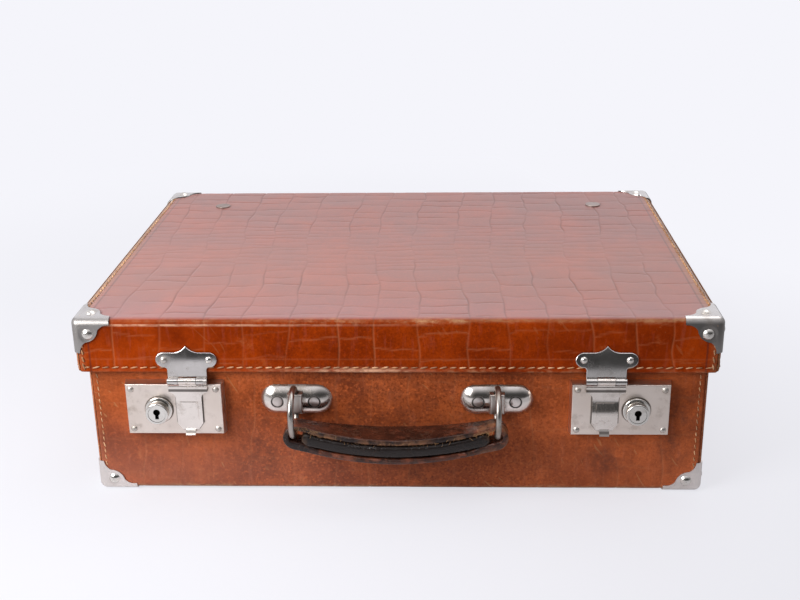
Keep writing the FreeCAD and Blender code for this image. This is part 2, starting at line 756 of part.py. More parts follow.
def ogee(corner_u, corner_v, into_u, into_v, leg_u, leg_v):
    """Outline of a cap on one face, from the corner along both edges to its tips."""
    def spot(along_u, along_v):
        return (f"({corner_u}) + {into_u} * ({along_u})", f"({corner_v}) + {into_v} * ({along_v})")

    straight = into_u * into_v > 0
    lobe_turn = "left" if straight else "right"
    waist_turn = "right" if straight else "left"
    outside = "-(cap_gauge + overrun)"
    tip = "edge_round"
    near = "cap_lobe_near_share"
    far = "cap_lobe_far_share"
    mean_leg = f"(({leg_u}) + ({leg_v})) / 2"
    waist = f"cap_waist_radius_share * {mean_leg}"
    lobe = f"cap_lobe_radius_share * {mean_leg}"
    return [
        spot(outside, outside),
        spot(leg_u, outside),
        spot(leg_u, tip),
        spot(f"{far} * ({leg_u})", f"{near} * ({leg_v})") + (waist, waist_turn),
        spot(f"{near} * ({leg_u})", f"{far} * ({leg_v})") + (lobe, lobe_turn),
        spot(tip, leg_v) + (waist, waist_turn),
        spot(outside, leg_v),
    ]


def corner_caps(part, half_x, half_y, level_z, into_z, leg_front, leg_side, leg_up, shell, drill):
    """Four caps cut from one shell by the outlines on the three faces of a corner."""
    region = new_body(f"{part}_cap_region")
    pad(region, f"{part}_cap_front", "XZ_Plane",
        ogee(f"-({half_x})", level_z, 1, into_z, leg_front, leg_up), "cap_depth",
        f"{half_y} - edge_round")
    pad(region, f"{part}_cap_side", "YZ_Plane",
        ogee(f"-({half_y})", level_z, 1, into_z, leg_side, leg_up), "cap_depth",
        f"-({half_x} + cap_gauge + overrun)")
    flat_start = f"({level_z}) - edge_round" if into_z < 0 else f"({level_z}) - cap_gauge - overrun"
    pad(region, f"{part}_cap_flat", "XY_Plane",
        ogee(f"-({half_x})", f"-({half_y})", 1, 1, leg_front, leg_side), "cap_depth", flat_start)
    front_left = drilled(f"{part}_cap_front_left", common(f"{part}_cap_plain", shell, region), drill)
    front_right = node(f"{part}_cap_front_right", mirrored(f"{part}_cap_right_plain", front_left))
    node(f"{part}_cap_rear_left", mirrored(f"{part}_cap_rear_left_plain", front_left, (0, 1, 0)))
    node(f"{part}_cap_rear_right", mirrored(f"{part}_cap_rear_right_plain", front_right, (0, 1, 0)))


lid_cap_outer = rounded_form("lid_cap_outer", "lid_half_x + cap_gauge", "lid_half_y + cap_gauge",
                             "lid_edge_height", "lid_top + cap_gauge", "edge_round + cap_gauge",
                             "lid_top + cap_gauge")
lid_cap_inner = rounded_form("lid_cap_inner", "lid_half_x + cap_fit", "lid_half_y + cap_fit",
                             "lid_edge_height - overrun", "lid_top + cap_fit", "edge_round + cap_fit",
                             "lid_top + cap_fit")
corner_caps("lid", "lid_half_x", "lid_half_y", "lid_top", -1, "lid_cap_front_leg", "lid_cap_side_leg",
            "lid_cap_drop", cut("lid_cap_shell", lid_cap_outer, lid_cap_inner), lid_drill)

base_cap_outer = rounded_form("base_cap_outer", "base_half_x + cap_gauge", "base_half_y + cap_gauge",
                              "base_bottom - cap_gauge", "lid_edge_height", "edge_round + cap_gauge",
                              "base_bottom - cap_gauge")
base_cap_inner = rounded_form("base_cap_inner", "base_half_x + cap_fit", "base_half_y + cap_fit",
                              "base_bottom - cap_fit", "lid_edge_height + overrun",
                              "edge_round + cap_fit", "base_bottom - cap_fit")
corner_caps("base", "base_half_x", "base_half_y", "base_bottom", 1, "base_cap_leg", "base_cap_leg",
            "base_cap_rise", cut("base_cap_shell", base_cap_outer, base_cap_inner), base_drill)


# Lock case: a pressed pan with flared sides, open to the leather behind

def lock_case():
    body = new_body("lock_case_body")
    half_x = "lock_face_width / 2"
    half_z = "lock_face_height / 2"

    def pan(grow_by):
        return rectangle(f"lock_x - {half_x} - ({grow_by})", f"lock_centre_height - {half_z} - ({grow_by})",
                         f"lock_x + {half_x} + ({grow_by})", f"lock_centre_height + {half_z} + ({grow_by})")

    def loft(kind, name, back, face, back_grow, face_grow):
        sections = []
        for tag, height, extra in (("back", back, back_grow), ("face", face, face_grow)):
            sections.append(outline(new_sketch(body, f"{name}_{tag}", "XZ_Plane", height), pan(extra)))
        feature = body.newObject(f"PartDesign::{kind}", name)
        feature.Profile = sections[0]
        feature.Sections = sections[1:]
        feature.Ruled = True
        return feature

    shape = loft("AdditiveLoft", "lock_pan", "base_half_y", "lock_face", "lock_flare", "0")
    fillet(body, "lock_pan_round", shape, "lock_edge_round", lambda edge: level(edge, "Y", "-(lock_face)"))
    loft("SubtractiveLoft", "lock_pan_hollow", "base_half_y", "lock_inner",
         "lock_flare - lock_gauge", "lock_flare * lock_gauge / lock_depth - lock_gauge")
    hole = hole_outline(new_sketch(body, "lock_barrel_hole_outline", "XZ_Plane", "base_half_y"),
                        "key_x", "lock_centre_height", "key_neck_radius")
    grow(body, "Pocket", "lock_barrel_hole", hole, "lock_depth + overrun", back=True)
    slot = "staple_width / 2 + staple_slot_side"
    pocket(body, "lock_staple_slot", "XZ_Plane",
           rectangle(f"hasp_x - ({slot})", "lock_centre_height - staple_half - staple_slot_below",
                     f"hasp_x + ({slot})", "hasp_axis_height"),
           "lock_depth + overrun", "base_half_y", back=True)
    return body


left_lock_case = drilled("left_lock_case", lock_case(), base_drill)
node("right_lock_case", mirrored("right_lock_case_plain", left_lock_case))


# Key barrel: a fixed stepped boss with a bore for the turning core

def turned_body(name, path):
    """Piece turned about the key axis of the left lock; X of the path is the radius, Y the depth."""
    body = new_body(name)
    turn(body, f"{name}_turned", outline(new_sketch(body, f"{name}_outline", "XY_Plane"), path))
    return place(body, "key_x", "0", "lock_centre_height")


bore = "core_radius + core_clearance"
boss_front = "-(lock_face + key_boss_height)"
left_barrel = node("left_lock_barrel", turned_body("lock_barrel_body", [
    (bore, "-(core_back)"),
    (bore, boss_front),
    ("key_collar_radius - key_boss_round", boss_front),
    ("key_collar_radius", f"{boss_front} + key_boss_round", "key_boss_round", "left"),
    ("key_collar_radius", "-(lock_face + key_ring_height)"),
    ("key_ring_radius - key_boss_round", "-(lock_face + key_ring_height)"),
    ("key_ring_radius", "-(lock_face + key_ring_height - key_boss_round)", "key_boss_round", "left"),
    ("key_ring_radius", "-(lock_face)"),
    ("key_neck_radius", "-(lock_face)"),
    ("key_neck_radius", "-(core_back)"),
]))
node("right_lock_barrel", mirrored("right_lock_barrel_plain", left_barrel))


# Key core: a plug with a keyhole in front and a crank pin behind

def lock_core():
    body = turned_body("lock_core_body", [
        (0, "-(core_front)"), ("core_radius", "-(core_front)"), ("core_radius", "-(core_back)"),
        (0, "-(core_back)")])
    slot = "keyhole_slot_width / 2"
    top = "keyhole_height / 2"
    eye = f"{top} - keyhole_radius"
    throat = f"{eye} - sqrt(keyhole_radius * keyhole_radius - {slot} * {slot})"
    pocket(body, "keyhole", "XZ_Plane", [
        (f"-({slot})", f"-({top})"),
        (slot, f"-({top})"),
        (slot, throat),
        (0, top, "keyhole_radius", "left"),
        (f"-({slot})", throat, "keyhole_radius", "left"),
    ], "keyhole_depth", "core_front")
    pin = hole_outline(new_sketch(body, "crank_pin_outline", "XZ_Plane", "crank_end"),
                       "-(crank_reach)", "crank_reach", "crank_pin_radius")
    grow(body, "Pad", "crank_pin", pin, "core_back - crank_end + overrun")
    return body


left_core = node("left_lock_core", lock_core())
node("right_lock_core", mirrored("right_lock_core_plain", left_core))


# Bolt: a sliding plate with a slot for the crank pin and a finger for the staple

def lock_bolt():
    body = new_body("lock_bolt_body")
    slot_half = "crank_pin_radius + crank_clearance"
    middle = "key_x - crank_reach"
    low = f"lock_centre_height + crank_reach - ({slot_half})"
    high = f"lock_centre_height + crank_radius + ({slot_half})"
    edge = f"({slot_half} + bolt_yoke_margin)"
    finger = "bolt_finger_height / 2"
    pad(body, "bolt_plate", "XZ_Plane", [
        (f"{middle} - {edge}", f"lock_centre_height - {finger}"),
        ("bolt_finger_tip", f"lock_centre_height - {finger}"),
        ("bolt_finger_tip", f"lock_centre_height + {finger}"),
        (f"{middle} + {edge}", f"lock_centre_height + {finger}"),
        (f"{middle} + {edge}", f"{high} + bolt_yoke_margin"),
        (f"{middle} - {edge}", f"{high} + bolt_yoke_margin"),
    ], "bolt_gauge", "bolt_back")
    pocket(body, "bolt_crank_slot", "XZ_Plane",
           rectangle(f"{middle} - ({slot_half})", low, f"{middle} + ({slot_half})", high),
           "bolt_gauge + overrun", "bolt_back", back=True)
    return body


left_bolt = node("left_lock_bolt", lock_bolt())
node("right_lock_bolt", mirrored("right_lock_bolt_plain", left_bolt))


# Hasp: a pointed plate on the lid, and a flap hinged to it that lies over the lock

def hasp_bore(body, name, radius):
    """Pin hole through the knuckles."""
    hole = hole_outline(new_sketch(body, f"{name}_outline", "YZ_Plane", "hasp_x"),
                        "-(hasp_axis_front)", "hasp_axis_height", radius)
    return grow(body, "Pocket", name, hole, "hasp_neck_width + overrun", middle=True)


def hasp_plate():
    body = new_body("hasp_plate_body")
    neck = "hasp_neck_width / 2"
    ear = "hasp_ear_spacing / 2"
    ear_top = "hasp_ear_height + hasp_ear_radius"
    ear_low = "hasp_ear_height - hasp_ear_radius"
    rise = f"(hasp_point_height - ({ear_top}))"
    point_arc = f"(hasp_point_half * hasp_point_half + {rise} * {rise}) / (2 * {rise})"
    neck_arc = f"({ear_low} - hasp_neck_top)"
    sheet = pad(body, "hasp_plate_sheet", "XZ_Plane", [
        (f"hasp_x - {neck}", "hasp_axis_height"),
        (f"hasp_x - {neck}", "hasp_neck_top"),
        (f"hasp_x - {ear}", ear_low, neck_arc, "left"),
        (f"hasp_x - {ear} - hasp_ear_radius", "hasp_ear_height", "hasp_ear_radius", "right"),
        (f"hasp_x - {ear}", ear_top, "hasp_ear_radius", "right"),
        ("hasp_x - hasp_point_half", ear_top),
        ("hasp_x", "hasp_point_height", point_arc, "left"),
        ("hasp_x + hasp_point_half", ear_top, point_arc, "left"),
        (f"hasp_x + {ear}", ear_top),
        (f"hasp_x + {ear} + hasp_ear_radius", "hasp_ear_height", "hasp_ear_radius", "right"),
        (f"hasp_x + {ear}", ear_low, "hasp_ear_radius", "right"),
        (f"hasp_x + {neck}", "hasp_neck_top", neck_arc, "left"),
        (f"hasp_x + {neck}", "hasp_axis_height"),
    ], "hasp_gauge", "lid_half_y")
    fillet(body, "hasp_plate_edge", sheet, "hasp_edge_round",
           lambda edge: level(edge, "Y", "-(lid_half_y + hasp_gauge)"))
    barrel = hole_outline(new_sketch(body, "hasp_knuckle_outline", "YZ_Plane", "hasp_x"),
                          "-(hasp_axis_front)", "hasp_axis_height", "hasp_knuckle_radius")
    grow(body, "Pad", "hasp_knuckle", barrel, "hasp_neck_width", middle=True)
    gap = "hasp_middle_width / 2 + knuckle_gap"
    pocket(body, "hasp_knuckle_gap", "XZ_Plane",
           rectangle(f"hasp_x - ({gap})", "hasp_axis_height - 2 * hasp_knuckle_radius",
                     f"hasp_x + ({gap})", "hasp_axis_height + hasp_knuckle_radius + knuckle_gap"),
           "4 * hasp_knuckle_radius", "lid_half_y - hasp_knuckle_radius", back=True)
    hasp_bore(body, "hasp_plate_bore", "hasp_pin_radius")
    return body


left_hasp_plate = drilled("left_hasp_plate", hasp_plate(), lid_drill)
node("right_hasp_plate", mirrored("right_hasp_plate_plain", left_hasp_plate))
left_pin = rod("left_hasp_pin", "hasp_pin_radius", "hasp_neck_width", "hasp_x - hasp_neck_width / 2",
               "-(hasp_axis_front)", "hasp_axis_height")
hasp_pins = doc.addObject("Part::Compound", "hasp_pins")
hasp_pins.Links = [left_pin, mirrored("right_hasp_pin", left_pin)]
node("hasp_pins", hasp_pins)


def hasp_flap():
    body = new_body("hasp_flap_body")
    middle = "hasp_middle_width / 2"
    band = "flap_band_width / 2"
    tongue = "flap_tongue_width / 2"
    toe = "flap_toe_width / 2"
    shoulder = "flap_band_bottom - flap_shoulder_round"
    pad(body, "flap_sheet", "XZ_Plane", [
        (f"hasp_x - {middle}", "hasp_axis_height"),
        (f"hasp_x + {middle}", "hasp_axis_height"),
        (f"hasp_x + {middle}", "flap_band_top"),
        (f"hasp_x + {band}", "flap_band_top"),
        (f"hasp_x + {band}", "flap_band_bottom"),
        (f"hasp_x + {tongue}", shoulder, "flap_shoulder_round", "left"),
        (f"hasp_x + {tongue}", "flap_chamfer_top"),
        (f"hasp_x + {toe}", "flap_bottom"),
        (f"hasp_x - {toe}", "flap_bottom"),
        (f"hasp_x - {tongue}", "flap_chamfer_top"),
        (f"hasp_x - {tongue}", shoulder),
        (f"hasp_x - {band}", "flap_band_bottom", "flap_shoulder_round", "left"),
        (f"hasp_x - {band}", "flap_band_top"),
        (f"hasp_x - {middle}", "flap_band_top"),
    ], "hasp_gauge", "flap_back")
    barrel = hole_outline(new_sketch(body, "flap_knuckle_outline", "YZ_Plane", "hasp_x"),
                          "-(hasp_axis_front)", "hasp_axis_height", "hasp_knuckle_radius")
    grow(body, "Pad", "flap_knuckle", barrel, "hasp_middle_width", middle=True)
    pad(body, "flap_band", "XZ_Plane",
        rectangle(f"hasp_x - {band}", "flap_band_bottom + flap_band_margin",
                  f"hasp_x + {band}", "flap_band_top - flap_band_margin"),
        "hasp_gauge + flap_band_rise", "flap_back")
    panel = f"{tongue} - flap_panel_margin"
    pad(body, "flap_panel", "XZ_Plane",
        rectangle(f"hasp_x - ({panel})", "flap_chamfer_top + flap_panel_margin",
                  f"hasp_x + ({panel})", f"{shoulder} - flap_panel_margin"),
        "hasp_gauge + flap_panel_rise", "flap_back")
    lip_front = "flap_front + flap_lip_lean"
    pad(body, "flap_lip", "YZ_Plane", [
        ("-(flap_back)", "flap_bottom + hasp_gauge"),
        ("-(flap_front)", "flap_bottom + hasp_gauge"),
        (f"-({lip_front})", "flap_lip_bottom + hasp_gauge / 2"),
        (f"-({lip_front} - hasp_gauge)", "flap_lip_bottom"),
    ], "flap_lip_width", "hasp_x", middle=True)
    hasp_bore(body, "flap_bore", "hasp_pin_radius + pin_clearance")
    return body


left_flap = node("left_hasp_flap", hasp_flap())
node("right_hasp_flap", mirrored("right_hasp_flap_plain", left_flap))


def hasp_staple():
    """U-shaped loop behind the flap, whose eye takes the bolt."""
    body = new_body("hasp_staple_body")
    high = "lock_centre_height + staple_half"
    low = "lock_centre_height - staple_half"
    eye_high = "lock_centre_height + staple_eye_half"
    eye_low = "lock_centre_height - staple_eye_half"
    pad(body, "staple_loop", "YZ_Plane", [
        ("-(flap_back)", high),
        ("-(flap_back)", eye_high),
        ("-(staple_eye_back)", eye_high),
        ("-(staple_eye_back)", eye_low),
        ("-(flap_back)", eye_low),
        ("-(flap_back)", low),
        ("-(staple_back)", low),
        ("-(staple_back)", high),
    ], "staple_width", "hasp_x", middle=True)
    return body


left_staple = node("left_hasp_staple", hasp_staple())
node("right_hasp_staple", mirrored("right_hasp_staple_plain", left_staple))


# Hinge: a leaf on the outside of the base, and a strap inside the lid that runs up and under its top

def hinge_barrel(body, name, x_formula, width):
    barrel = hole_outline(new_sketch(body, f"{name}_outline", "YZ_Plane", x_formula),
                          "hinge_axis_y", "hinge_axis_z", "hinge_knuckle_radius")
    return grow(body, "Pad", name, barrel, width, middle=True)


def hinge_bore(body, name, radius):
    hole = hole_outline(new_sketch(body, f"{name}_outline", "YZ_Plane", "hinge_x"),
                        "hinge_axis_y", "hinge_axis_z", radius)
    return grow(body, "Pocket", name, hole, "hinge_width + overrun", middle=True)


def hinge_leaf():
    body = new_body("hinge_leaf_body")
    half = "hinge_width / 2"
    inner = f"({half} - hinge_end_width)"
    radius = "hinge_leaf_round"
    pad(body, "leaf_sheet", "XZ_Plane", [
        (f"hinge_x - {half}", f"leaf_bottom + {radius}"),
        (f"hinge_x - {half} + {radius}", "leaf_bottom", radius, "left"),
        (f"hinge_x + {half} - {radius}", "leaf_bottom"),
        (f"hinge_x + {half}", f"leaf_bottom + {radius}", radius, "left"),
        (f"hinge_x + {half}", "hinge_axis_z"),
        (f"hinge_x + {inner}", "hinge_axis_z"),
        (f"hinge_x + {inner}", "leaf_top"),
        (f"hinge_x - {inner}", "leaf_top"),
        (f"hinge_x - {inner}", "hinge_axis_z"),
        (f"hinge_x - {half}", "hinge_axis_z"),
    ], "hinge_gauge", "-(base_half_y + hinge_gauge)")
    for tag, sign in (("near", "-"), ("far", "+")):
        hinge_barrel(body, f"leaf_knuckle_{tag}", f"hinge_x {sign} ({half} - hinge_end_width / 2)",
                     "hinge_end_width")
    hinge_bore(body, "leaf_bore", "hinge_pin_radius")
    return body


left_leaf = drilled("left_hinge_leaf", hinge_leaf(), base_drill)
node("right_hinge_leaf", mirrored("right_hinge_leaf_plain", left_leaf))


def hinge_strap():
    body = new_body("hinge_strap_body")
    inside = "lid_inner_y - hinge_gauge"
    under = "lid_ceiling - hinge_gauge"
    tail = "top_rivet_y - strap_tail"
    bend = "hinge_bend_round"
    pad(body, "strap_sheet", "YZ_Plane", [
        (inside, "hinge_axis_z"),
        ("lid_inner_y", "hinge_axis_z"),
        ("lid_inner_y", "lid_ceiling"),
        (tail, "lid_ceiling"),
        (tail, under),
        (f"{inside} - {bend}", under),
        (inside, f"{under} - {bend}", bend, "right"),
    ], "strap_width", "hinge_x", middle=True)
    hinge_barrel(body, "strap_knuckle", "hinge_x", "strap_width")
    pad(body, "stop_lug", "YZ_Plane",
        rectangle("hinge_axis_y", "hinge_axis_z", "hinge_axis_y + stop_lug_reach",
                  "hinge_axis_z + stop_lug_gauge"), "strap_width", "hinge_x", middle=True)
    hinge_bore(body, "strap_bore", "hinge_pin_radius + pin_clearance")
    return body


left_strap = drilled("left_hinge_strap", hinge_strap(), lid_drill)
node("right_hinge_strap", mirrored("right_hinge_strap_plain", left_strap))
left_hinge_pin = rod("left_hinge_pin", "hinge_pin_radius", "hinge_width", "hinge_x - hinge_width / 2",
                     "hinge_axis_y", "hinge_axis_z")
hinge_pins = doc.addObject("Part::Compound", "hinge_pins")
hinge_pins.Links = [left_hinge_pin, mirrored("right_hinge_pin", left_hinge_pin)]
node("hinge_pins", hinge_pins)


# Handle plate: a long dome with sunk rivets and a saddle, under which the ring passes

def handle_plate():
    body = new_body("handle_plate_body")
    wall = "-(base_half_y)"
    pad(body, "plate_dome_middle", "YZ_Plane", [
        (wall, "plate_height_up - plate_half", "plate_dome", "left"),
        (wall, "plate_height_up + plate_half"),
    ], "2 * plate_run", "plate_x", middle=True)
    for tag, sign in (("near", "-"), ("far", "+")):
        sketch = new_sketch(body, f"plate_{tag}_outline", "XY_Plane", "plate_height_up",
                            f"plate_x {sign} plate_run")
        turn(body, f"plate_{tag}_end", outline(sketch, [
            (0, wall),
            (0, f"{wall} - plate_rise"),
            ("plate_half", wall, "plate_dome", "left"),
        ]))
    for tag, sign in (("near", "-"), ("far", "+")):
        sketch = new_sketch(body, f"plate_{tag}_seat_outline", "XZ_Plane", "base_half_y + plate_rivet_seat")
        hole_outline(sketch, f"plate_x {sign} plate_rivet_spacing / 2", "plate_height_up",
                     "plate_rivet_radius + plate_rivet_clearance")
        grow(body, "Pocket", f"plate_{tag}_seat", sketch, "plate_rise", back=True)
    half = "saddle_width / 2"
    saddle = pad(body, "saddle", "XZ_Plane",
                 rectangle(f"plate_x - {half}", "plate_height_up - saddle_height / 2",
                           f"plate_x + {half}", "plate_height_up + saddle_height / 2"),
                 "saddle_rise", "base_half_y")
    fillet(body, "saddle_round_edge", saddle, "saddle_round",
           lambda edge: level(edge, "Y", "-(base_half_y + saddle_rise)"))
    return body


ring_channel = ring_solid("ring_channel", "ring_wire_radius + ring_clearance")
channelled = cut("handle_plate_channel", handle_plate(), ring_channel)
left_plate = drilled("left_handle_plate", channelled, base_drill)
node("right_handle_plate", mirrored("right_handle_plate_plain", left_plate))
left_ring = node("left_handle_ring", ring_solid("left_ring", "ring_wire_radius"))
node("right_handle_ring", mirrored("right_ring", left_ring))


# Handle grip: a leather strap looped through both rings and closed over a filler

def grip_loop(inset):
    """Side outline of the grip, drawn in from its outer face."""
    radius = f"(grip_end_radius - ({inset}))"
    end = "grip_end_x"
    high = f"grip_end_z + {radius}"
    low = f"grip_end_z - {radius}"
    return [
        (end, high, "grip_arc", "left"),
        (f"{end} + {radius}", "grip_end_z", radius, "right"),
        (end, low, radius, "right"),
        (f"-({end})", low, "grip_arc", "right"),
        (f"-({end} + {radius})", "grip_end_z", radius, "right"),
        (f"-({end})", high, radius, "right"),
    ]


def grip_plan(name):
    """Plan of the grip: widest in the middle, narrow at the rings."""
    body = new_body(name)
    far = "grip_half_length + overrun"
    end = "grip_end_width / 2"
    pad(body, f"{name}_pad", "XY_Plane", [
        (f"-({far})", f"-(ring_front) - {end}"),
        ("-(grip_taper_half)", f"-(ring_front) - {end}"),
        ("grip_taper_half", f"-(ring_front) - {end}", "grip_plan_arc", "left"),
        (far, f"-(ring_front) - {end}"),
        (far, f"-(ring_front) + {end}"),
        ("grip_taper_half", f"-(ring_front) + {end}"),
        ("-(grip_taper_half)", f"-(ring_front) + {end}", "grip_plan_arc", "left"),
        (f"-({far})", f"-(ring_front) + {end}"),
    ], "lid_edge_height")
    return body


def grip_part(name, make):
    """Piece of the grip, made in side view and cut to the plan."""
    body = new_body(f"{name}_body")
    make(body)
    return node(name, common(f"{name}_shaped", body, grip_plan(f"{name}_plan")))


def strap_side(body):
    pad(body, "grip_strap", "XZ_Plane", grip_loop("0"), "2 * grip_middle_width", "ring_front", middle=True)
    pocket(body, "grip_strap_inside", "XZ_Plane", grip_loop("grip_strap_gauge"),
           "3 * grip_middle_width", "ring_front", middle=True)


def filler_side(body):
    pad(body, "grip_filler", "XZ_Plane", grip_loop("grip_strap_gauge + filler_fit"),
        "2 * grip_middle_width", "ring_front", middle=True)
    for tag, sign in (("left", "-"), ("right", "")):
        near = f"{sign}filler_half_length"
        far = f"{sign}(grip_half_length + overrun)"
        pocket(body, f"grip_filler_{tag}_end", "XZ_Plane",
               rectangle(near, "0", far, "lid_edge_height"), "3 * grip_middle_width", "ring_front",
               middle=True)


grip_part("handle_strap", strap_side)
grip_part("handle_filler", filler_side)


# Build, test and write

doc.recompute()
faults = []
for item in doc.Objects:
    if "Invalid" in item.State or "Error" in item.State:
        faults.append(f"{item.Label}: {item.State}")
for name, item in nodes.items():
    if item.Shape.isNull() or not item.Shape.isValid() or not item.Shape.Solids:
        faults.append(f"{name}: no valid solid")
if faults:
    raise RuntimeError("; ".join(faults))

os.makedirs("parts", exist_ok=True)
for name, item in nodes.items():
    item.Shape.exportStep(os.path.join("parts", f"{name}.step"))
print(f"{len(nodes)} pieces written")
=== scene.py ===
# %% [markdown]
# # A worn leather travelling case
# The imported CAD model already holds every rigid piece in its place: boards, corner caps, locks, hasps and
# hinges. This lesson dresses it with embossed leather, sewn seams, a frayed handle, a cloth lining and old
# nickel. Lengths are in metres, X runs along the front, the front faces -Y and Z is up.

# %% Load the frame
import math

import bmesh
import bpy
import numpy as np
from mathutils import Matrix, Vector, noise


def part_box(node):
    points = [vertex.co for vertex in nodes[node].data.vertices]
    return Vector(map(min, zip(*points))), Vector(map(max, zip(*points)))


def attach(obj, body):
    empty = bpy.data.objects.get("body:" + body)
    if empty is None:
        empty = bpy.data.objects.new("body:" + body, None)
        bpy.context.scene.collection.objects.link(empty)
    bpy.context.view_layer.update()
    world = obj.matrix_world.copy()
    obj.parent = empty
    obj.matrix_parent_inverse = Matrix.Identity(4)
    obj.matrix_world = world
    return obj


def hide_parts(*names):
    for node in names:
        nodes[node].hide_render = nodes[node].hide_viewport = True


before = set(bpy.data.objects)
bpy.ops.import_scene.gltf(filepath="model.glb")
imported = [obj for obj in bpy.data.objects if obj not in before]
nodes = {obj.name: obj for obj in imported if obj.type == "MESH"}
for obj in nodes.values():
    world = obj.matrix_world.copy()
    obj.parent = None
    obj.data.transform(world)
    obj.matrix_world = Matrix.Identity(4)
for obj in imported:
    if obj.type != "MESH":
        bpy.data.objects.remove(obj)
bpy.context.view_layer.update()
MM = 0.001

# %% [markdown]
# ## The camera
# A photograph fixes one viewing point. The corners of lid, base and locks, the two rivets on the lid and the
# tips of the hasp plates were matched to their places in the picture, which gives the lens, the place and the
# turn below. A wider lens closer by would make the front of the case look too large against its rear.

# %% Camera
LENS = 52.415
SENSOR = 36.0
CAMERA_PLACE = (0.0291, -0.7751, 0.3646)
CAMERA_TURN = (69.546, 0.822, 2.020)

scene = bpy.context.scene
scene.view_settings.view_transform = "Standard"
camera = bpy.data.objects.new("camera", bpy.data.cameras.new("camera"))
camera.data.sensor_width = SENSOR
camera.data.lens = LENS
camera.location = CAMERA_PLACE
camera.rotation_euler = [math.radians(angle) for angle in CAMERA_TURN]
scene.collection.objects.link(camera)
scene.camera = camera
print("camera looks from", CAMERA_PLACE)

# %% [markdown]
# ## Short words for shader nodes
# Every finish below is a small tree of nodes. The helpers here keep the trees readable: they add a node and
# fill its sockets, do arithmetic, lay colours over one another by masks, stretch a value, draw clouds of
# noise, start a material and raise its surface. Written out in full, each such line would take several.

# %% Node helpers
def feed(tree, node, inputs):
    """Fill sockets of a node with plain values, outputs, or nodes whose first output is meant."""
    for name, content in inputs.items():
        if isinstance(content, bpy.types.Node):
            content = content.outputs[0]
        if isinstance(content, bpy.types.NodeSocket):
            tree.links.new(content, node.inputs[name])
        else:
            node.inputs[name].default_value = content


def put(tree, kind, inputs=None, **settings):
    """Add one node, set it up and fill its sockets."""
    node = tree.nodes.new(kind)
    for name, choice in settings.items():
        setattr(node, name, choice)
    feed(tree, node, inputs or {})
    return node


def reckon(tree, operation, first, *others):
    """Arithmetic on one value, or on several values in turn."""
    for other in others or (0.0,):
        first = put(tree, "ShaderNodeMath", {0: first, 1: other}, operation=operation).outputs[0]
    return first


def times(tree, *values):
    return reckon(tree, "MULTIPLY", *values)


def plus(tree, *values):
    return reckon(tree, "ADD", *values)


def minus(tree, first, second):
    return reckon(tree, "SUBTRACT", first, second)


def most(tree, *values):
    return reckon(tree, "MAXIMUM", *values)


def off(tree, first, second):
    """How far two values are apart."""
    return reckon(tree, "ABSOLUTE", minus(tree, first, second))


def square(tree, content):
    return reckon(tree, "POWER", content, 2.0)


def reach_of(tree, along, up):
    """Length of a way that goes along and up."""
    return reckon(tree, "SQRT", plus(tree, square(tree, along), square(tree, up)))


print("arithmetic helpers ready")

# %% Finish helpers
def ramp(tree, content, low, high, start=0.0, end=1.0):
    """Soft step from start to end while the content goes from low to high."""
    inputs = {"Value": content, "From Min": low, "From Max": high, "To Min": start, "To Max": end}
    return put(tree, "ShaderNodeMapRange", inputs, interpolation_type="SMOOTHSTEP").outputs[0]


def speckle(tree, vector, scale, detail=3.0, roughness=0.55, stretch=None):
    """Value of a noise pattern; stretch draws it out along the axes."""
    if stretch:
        vector = put(tree, "ShaderNodeMapping", {"Vector": vector, "Scale": stretch})
    inputs = {"Vector": vector, "Scale": scale, "Detail": detail, "Roughness": roughness}
    return put(tree, "ShaderNodeTexNoise", inputs).outputs[0]


def clouds(tree, vector, scale, detail, roughness, low, high, share=1.0, stretch=None):
    """Mask of noise: 0 below the low level, the full share above the high one."""
    return ramp(tree, speckle(tree, vector, scale, detail, roughness, stretch), low, high, 0.0, share)


def tint(tree, mask, first, second):
    """Colour that goes from first to second as the mask goes from 0 to 1."""
    colours = [(*tone, 1.0) if isinstance(tone, tuple) else tone for tone in (first, second)]
    return put(tree, "ShaderNodeMix", {0: mask, 6: colours[0], 7: colours[1]}, data_type="RGBA").outputs[2]


def paint(tree, colour, *layers):
    """Lay colours over one another, each by its own mask."""
    for mask, tone in layers:
        colour = tint(tree, mask, colour, tone)
    return colour


def shaded(colour, share):
    return tuple(share * part for part in colour)


def apart(tree, vector):
    """The X, Y and Z of a vector."""
    return put(tree, "ShaderNodeSeparateXYZ", {0: vector}).outputs


def mesh_mask(tree, label):
    return put(tree, "ShaderNodeAttribute", attribute_name=label).outputs["Fac"]


def finish_start(name):
    """A new material with its tree, its shader and the object's own coordinates."""
    material = bpy.data.materials.new(name)
    material.use_nodes = True
    tree = material.node_tree
    place = put(tree, "ShaderNodeTexCoord").outputs["Object"]
    return material, tree, tree.nodes["Principled BSDF"], place


def raise_surface(tree, shader, height, distance, strength=1.0):
    """Small relief on a finish."""
    bump = put(tree, "ShaderNodeBump", {"Height": height, "Distance": distance, "Strength": strength})
    feed(tree, shader, {"Normal": bump})


print("finish helpers ready")

# %% [markdown]
# ## Studio
# The photograph is a plain catalogue picture: a pale table, a white wall and broad soft light. A dome of
# light that is dimmer on the viewer's side gives the metal something to reflect. A large soft lamp above the
# left shoulder gives the shadows, and a larger one overhead lifts the top. Only what the camera and mirrors
# see is turned white; the light that falls on the case stays at a plain level.

# %% World
DOME_BRIGHT = (0.95, 0.95, 1.0)
DOME_DIM = (0.05, 0.05, 0.05)
DOME_EVEN = (0.22, 0.22, 0.232)
DOME_UP = 0.8
DOME_ASIDE = -0.25
WALL_WHITE = (0.913, 0.913, 0.965)

